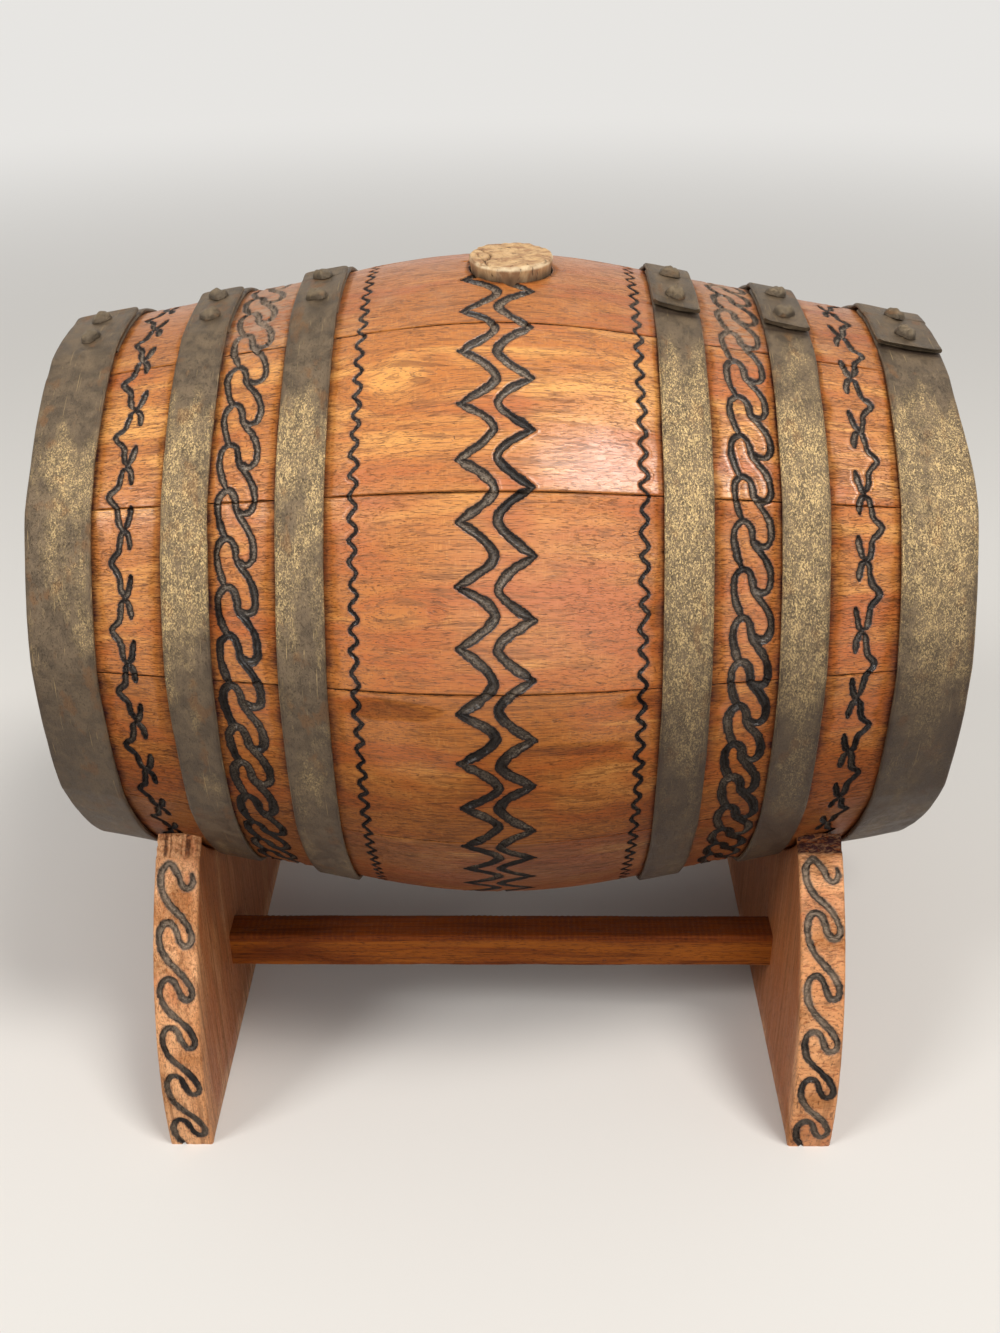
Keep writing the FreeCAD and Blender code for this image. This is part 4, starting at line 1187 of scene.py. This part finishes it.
def make_rail(row_name, seed):
    """A square rail with planed faces and worn corners, let into both boards."""
    name = f"{row_name}_rail"
    (x0, x1), (y0, y1), (z0, z1) = (span(name, axis) for axis in range(3))
    corner = 0.9
    section = []
    for quadrant, (cy, cz) in enumerate(((y1, z1), (y0, z1), (y0, z0), (y1, z0))):
        sy, sz = (1 if cy == y1 else -1), (1 if cz == z1 else -1)
        for turn in np.linspace(0, math.pi / 2, 5):
            angle = turn + quadrant * math.pi / 2
            section.append((cy + corner * (math.cos(angle) - sy), cz + corner * (math.sin(angle) - sz)))
    section = np.array(section)
    dense = []
    for here, there in zip(section, np.roll(section, -1, 0)):
        parts = max(1, round(math.dist(here, there) / 0.8))
        dense += [here + (there - here) * k / parts for k in range(parts)]
    x, index = np.meshgrid(np.linspace(x0, x1, 200), np.arange(len(dense)), indexing="ij")
    y, z = np.moveaxis(np.array(dense)[index], -1, 0)
    middle_y, middle_z = (y0 + y1) / 2, (z0 + z1) / 2
    away = np.hypot(y - middle_y, z - middle_z)
    chatter = 0.5 + 0.5 * np.cos(x * 4.2 + 1.5 * ripple(x, 0 * x, 9, seed + 2))
    upper = smooth((z - middle_z) / (z1 - middle_z) * 3 - 1.5)
    shrink = 0.12 + 0.14 * ripple(x, index * 0.8, 16, seed) + 0.06 * ripple(x, index * 0.8, 5, seed + 1)
    shrink = np.clip(shrink + 0.16 * chatter * upper * (0.6 + 0.4 * ripple(x, 0 * x, 14, seed + 3)), 0, 1)
    y = y - (y - middle_y) / away * shrink
    z = z - (z - middle_z) / away * shrink
    # painted shadow: the upper face, under the cask, is painted darker and lower in tone, along with its real
    # chatter marks
    grime = np.maximum(0.45 * upper * (0.3 + 0.7 * chatter), 0.26)
    fields = wood_fields(np.stack([x, y + 900 + seed, z], -1), grime=grime, tone=0.1 - 0.25 * upper)
    rail = new_solid(name + "_planed", *skin(np.stack([x, y, z], -1)))
    dress(rail, RAIL_WOOD, "stand", name, fields)


# ---------------------------------------------------------------- tap
def turned(outline, sectors=64):
    """Loops of a turned form: distance along its axis, and two coordinates across it."""
    outline, angle = np.asarray(outline, float), round_angles(sectors)
    return outline[:, :1] + 0 * angle, outline[:, 1:] * np.cos(angle), outline[:, 1:] * np.sin(angle)


def tap_place(outward, aside, up):
    """Points in the row frame from places about the tap's bore, which starts at the head's face."""
    head_face = CASK_END - HEAD_INSET
    bore_radius = float(profile(np.array(head_face), STAVE_WALL)) - TAP_RISE
    return on_cask(head_face + outward, CASK_TURN, up - bore_radius, aside)


def tap_solid(name, outward, aside, up):
    return new_solid(name, *skin(tap_place(outward, aside, up)))


def dress_tap(piece, material, node, body, axes):
    """Looks of a tap piece, with its grain along the first of the axes."""
    points = np.zeros(3 * len(piece.data.vertices), np.float32)
    piece.data.vertices.foreach_get("co", points)
    points = points.reshape(-1, 3) / MM
    dress(piece, material, body, node, wood_fields(points[:, axes] + 700), 35)


def make_tap_body():
    """Turned spigot: shank through the head, rounded collar, beaded barrel and a drilled spout."""
    outline = [(-12, 0.01), (-12, 5.5), (0.05, 5.5), (0.05, 8.4), (0.4, 8.85), (1.0, 9.0), (2.0, 9.0),
               (2.6, 8.85), (2.95, 8.4), (3.0, 7.1), (3.4, 6.9), (3.9, 7.1), (4.2, 7.4), (4.6, 7.5),
               (14.4, 7.5), (14.8, 7.25), (15.2, 6.95), (15.6, 7.25), (16.0, 7.45), (26.3, 7.45),
               (26.9, 7.15), (27.4, 6.9)]
    end, end_round = 29, 2.2
    outline += [(end - end_round + end_round * math.sin(angle), 4.6 + end_round * math.cos(angle))
                for angle in np.linspace(0.35, math.pi / 2, 7)]
    body = tap_solid("tap_body_turned", *turned(outline + [(end, 0.01)]))
    spout_at = HEAD_INSET + 20 - SPOUT_INSET
    spout = [(-15, 0.01), (-15, 4.1), (-14.7, 4.5), (-14.2, 4.7), (-13.2, 4.75), (-12.8, 4.45), (-12.4, 4.3),
             (-12.0, 4.45), (-11.6, 4.75), (0, 4.8), (0, 0.01)]
    bore = [(-16, 0.01), (-16, 2.0), (-3, 2.0), (-3, 0.01)]
    for name, form, sectors, operation in (("spout", spout, 48, "UNION"), ("bore", bore, 40, "DIFFERENCE")):
        up, first, second = turned(form, sectors)
        combine(body, tap_solid(name, spout_at + first, second, up), operation)
    dress_tap(body, TAP_WOOD, "tap_body", "cask", [0, 1, 2])


def make_tap_key():
    """Turned key with a flat rounded grip across its top."""
    neck = 10.5
    plug = [(-9, 0.01), (-9, 3.2), (-8.7, 3.5), (8.0, 4.4), (8.2, 5.0), (8.8, 5.3), (9.4, 5.0), (9.7, 4.6),
            (neck + 0.6, 4.3), (neck + 0.6, 0.01)]
    up, first, second = turned(plug, 48)
    key = tap_solid("tap_key_turned", KEY_AT + first, second, up)
    # the grip's outline is a superellipse; its two faces shrink towards their rounded edges
    half_width, half_depth, rise, squareness = 6.95, 2.25, 9.0, 0.62
    cosine, sine = np.cos(round_angles(40)), np.sin(round_angles(40))
    aside = half_width * np.copysign(np.abs(cosine) ** squareness, cosine)
    up = neck - 0.4 + (rise + 0.4) / 2 * (1 + np.copysign(np.abs(sine) ** squareness, sine))
    middle = neck + rise / 2
    depth, shrink = np.array([(-1, 0.90), (-0.9, 0.95), (-0.6, 0.99), (-0.2, 1.0),
                              (0.2, 1.0), (0.6, 0.99), (0.9, 0.95), (1, 0.90)]).T[..., None]
    grip = tap_solid("grip", KEY_AT + depth * half_depth, aside * shrink, middle + (up - middle) * shrink)
    combine(key, grip, "UNION")
    dress_tap(key, KEY_WOOD, "tap_key", "tap_key", [2, 0, 1])


# ---------------------------------------------------------------- the whole part
for index in range(STAVE_COUNT):
    make_stave(index)
seed = 20
for side_name, side in (("left", -1), ("right", 1)):
    for part_name, part in (("front", -1), ("middle", 0), ("rear", 1)):
        make_head_board(side_name, side, part_name, part)
    for hoop_name in ("bilge", "quarter", "chime"):
        seed += 10
        make_hoop(side_name, side, hoop_name, seed)
        make_rivets(side_name, side, hoop_name, seed)
    make_cradle_board(side_name, side, seed + 200)
for row_name in ("front", "rear"):
    seed += 10
    make_rail(row_name, seed)
make_bung()
make_tap_body()
make_tap_key()


# ---------------------------------------------------------------- floor, light and camera
BACKDROP = (0.80, 0.785, 0.76)
WORLD_LIGHT = 0.42


def seen_by_camera(look):
    """1 for rays that show the surroundings: the camera's, and those that a shine or glass sends."""
    rays = look.tree.nodes.new("ShaderNodeLightPath").outputs
    glossy = look.math("MAXIMUM", rays["Is Glossy Ray"], rays["Is Transmission Ray"])
    return look.math("MAXIMUM", rays["Is Camera Ray"], glossy)


def make_floor():
    """A wide pale floor that runs out into the backdrop's own even colour."""
    half = 12.0
    mesh = bpy.data.meshes.new("floor")
    corners = [(-half, -half, 0), (half, -half, 0), (half, half, 0), (-half, half, 0)]
    mesh.from_pydata(corners, [], [(0, 1, 2, 3)])
    look = Look("floor_pale")
    pale = look.mix(seen_by_camera(look), (0.38, 0.36, 0.34), (0.78, 0.765, 0.74))
    mesh.materials.append(look.finish(Base_Color=pale, Roughness=0.9, Specular_IOR_Level=0.2))
    place = look.add("ShaderNodeNewGeometry", {}, "Position")
    distance = look.add("ShaderNodeVectorMath", {0: place}, "Value", operation="LENGTH")
    far = look.times(look.band(distance, 0.45, 1.6), seen_by_camera(look))
    backdrop = look.add("ShaderNodeEmission", {"Color": (*BACKDROP, 1)})
    shown = look.add("ShaderNodeMixShader", {0: far, 1: look.shader.outputs[0], 2: backdrop})
    look.put(look.tree.nodes["Material Output"].inputs["Surface"], shown)
    floor = bpy.data.objects.new("floor", mesh)
    bpy.context.scene.collection.objects.link(floor)


def make_lamp(name, place, target, width, height, power, colour=(1, 1, 1)):
    """A soft box that faces a point; lengths in metres, power in watts."""
    data = bpy.data.lights.new(name, "AREA")
    data.shape = "RECTANGLE"
    data.size, data.size_y = width, height
    data.energy = power
    data.color = colour
    lamp = bpy.data.objects.new(name, data)
    lamp.location = place
    lamp.rotation_euler = (Vector(target) - Vector(place)).to_track_quat("-Z", "Y").to_euler()
    bpy.context.scene.collection.objects.link(lamp)


class WorldLook(Look):
    """The world's nodes, with the same short calls."""

    def __init__(self, world):
        world.use_nodes = True
        self.tree = world.node_tree


def make_world():
    """Dim even surroundings that show as the pale backdrop."""
    world = bpy.data.worlds.new("studio")
    look = WorldLook(world)
    background = look.tree.nodes["Background"]
    background.inputs["Color"].default_value = (*BACKDROP, 1)
    look.put(background.inputs["Strength"], look.mix_number(seen_by_camera(look), WORLD_LIGHT, 1.0))
    bpy.context.scene.world = world


CAMERA_PLACE = (-4.8, -322.8, 277.5)
CAMERA_YAW, CAMERA_PITCH, CAMERA_ROLL = (math.radians(angle) for angle in (0.93, 29.88, -0.54))
FOCAL_PIXELS, IMAGE_HEIGHT = 1394, 1333


def make_camera():
    """The photograph's camera: just in front of the cask, looking down at it."""
    data = bpy.data.cameras.new("camera")
    data.lens = data.sensor_width * FOCAL_PIXELS / IMAGE_HEIGHT
    data.clip_start, data.clip_end = 0.01, 100
    level = Vector((math.cos(CAMERA_YAW), math.sin(CAMERA_YAW), 0))
    ahead = Vector((-math.sin(CAMERA_YAW), math.cos(CAMERA_YAW), 0))
    forward = ahead * math.cos(CAMERA_PITCH) - Vector((0, 0, math.sin(CAMERA_PITCH)))
    rise = Vector((0, 0, math.cos(CAMERA_PITCH))) + ahead * math.sin(CAMERA_PITCH)
    right = level * math.cos(CAMERA_ROLL) + rise * math.sin(CAMERA_ROLL)
    up = rise * math.cos(CAMERA_ROLL) - level * math.sin(CAMERA_ROLL)
    turn = Matrix((right, up, -forward)).transposed()
    camera = bpy.data.objects.new("camera", data)
    camera.matrix_world = Matrix.Translation(Vector(CAMERA_PLACE) * MM) @ turn.to_4x4()
    bpy.context.scene.collection.objects.link(camera)
    bpy.context.scene.camera = camera


make_floor()
make_world()
make_lamp("overhead", (0.40, -0.42, 1.25), (0, -0.02, 0.12), 0.34, 0.34, 9.5, (1, 0.97, 0.92))
make_lamp("left", (-0.95, -0.75, 1.15), (0, -0.02, 0.12), 0.5, 0.5, 9.5, (1, 0.98, 0.95))
make_lamp("front_fill", (0.3, -1.6, 0.7), (0, 0, 0.1), 1.2, 1.0, 7)
make_camera()
bpy.context.scene.view_settings.view_transform = "Standard"

bpy.context.view_layer.update()
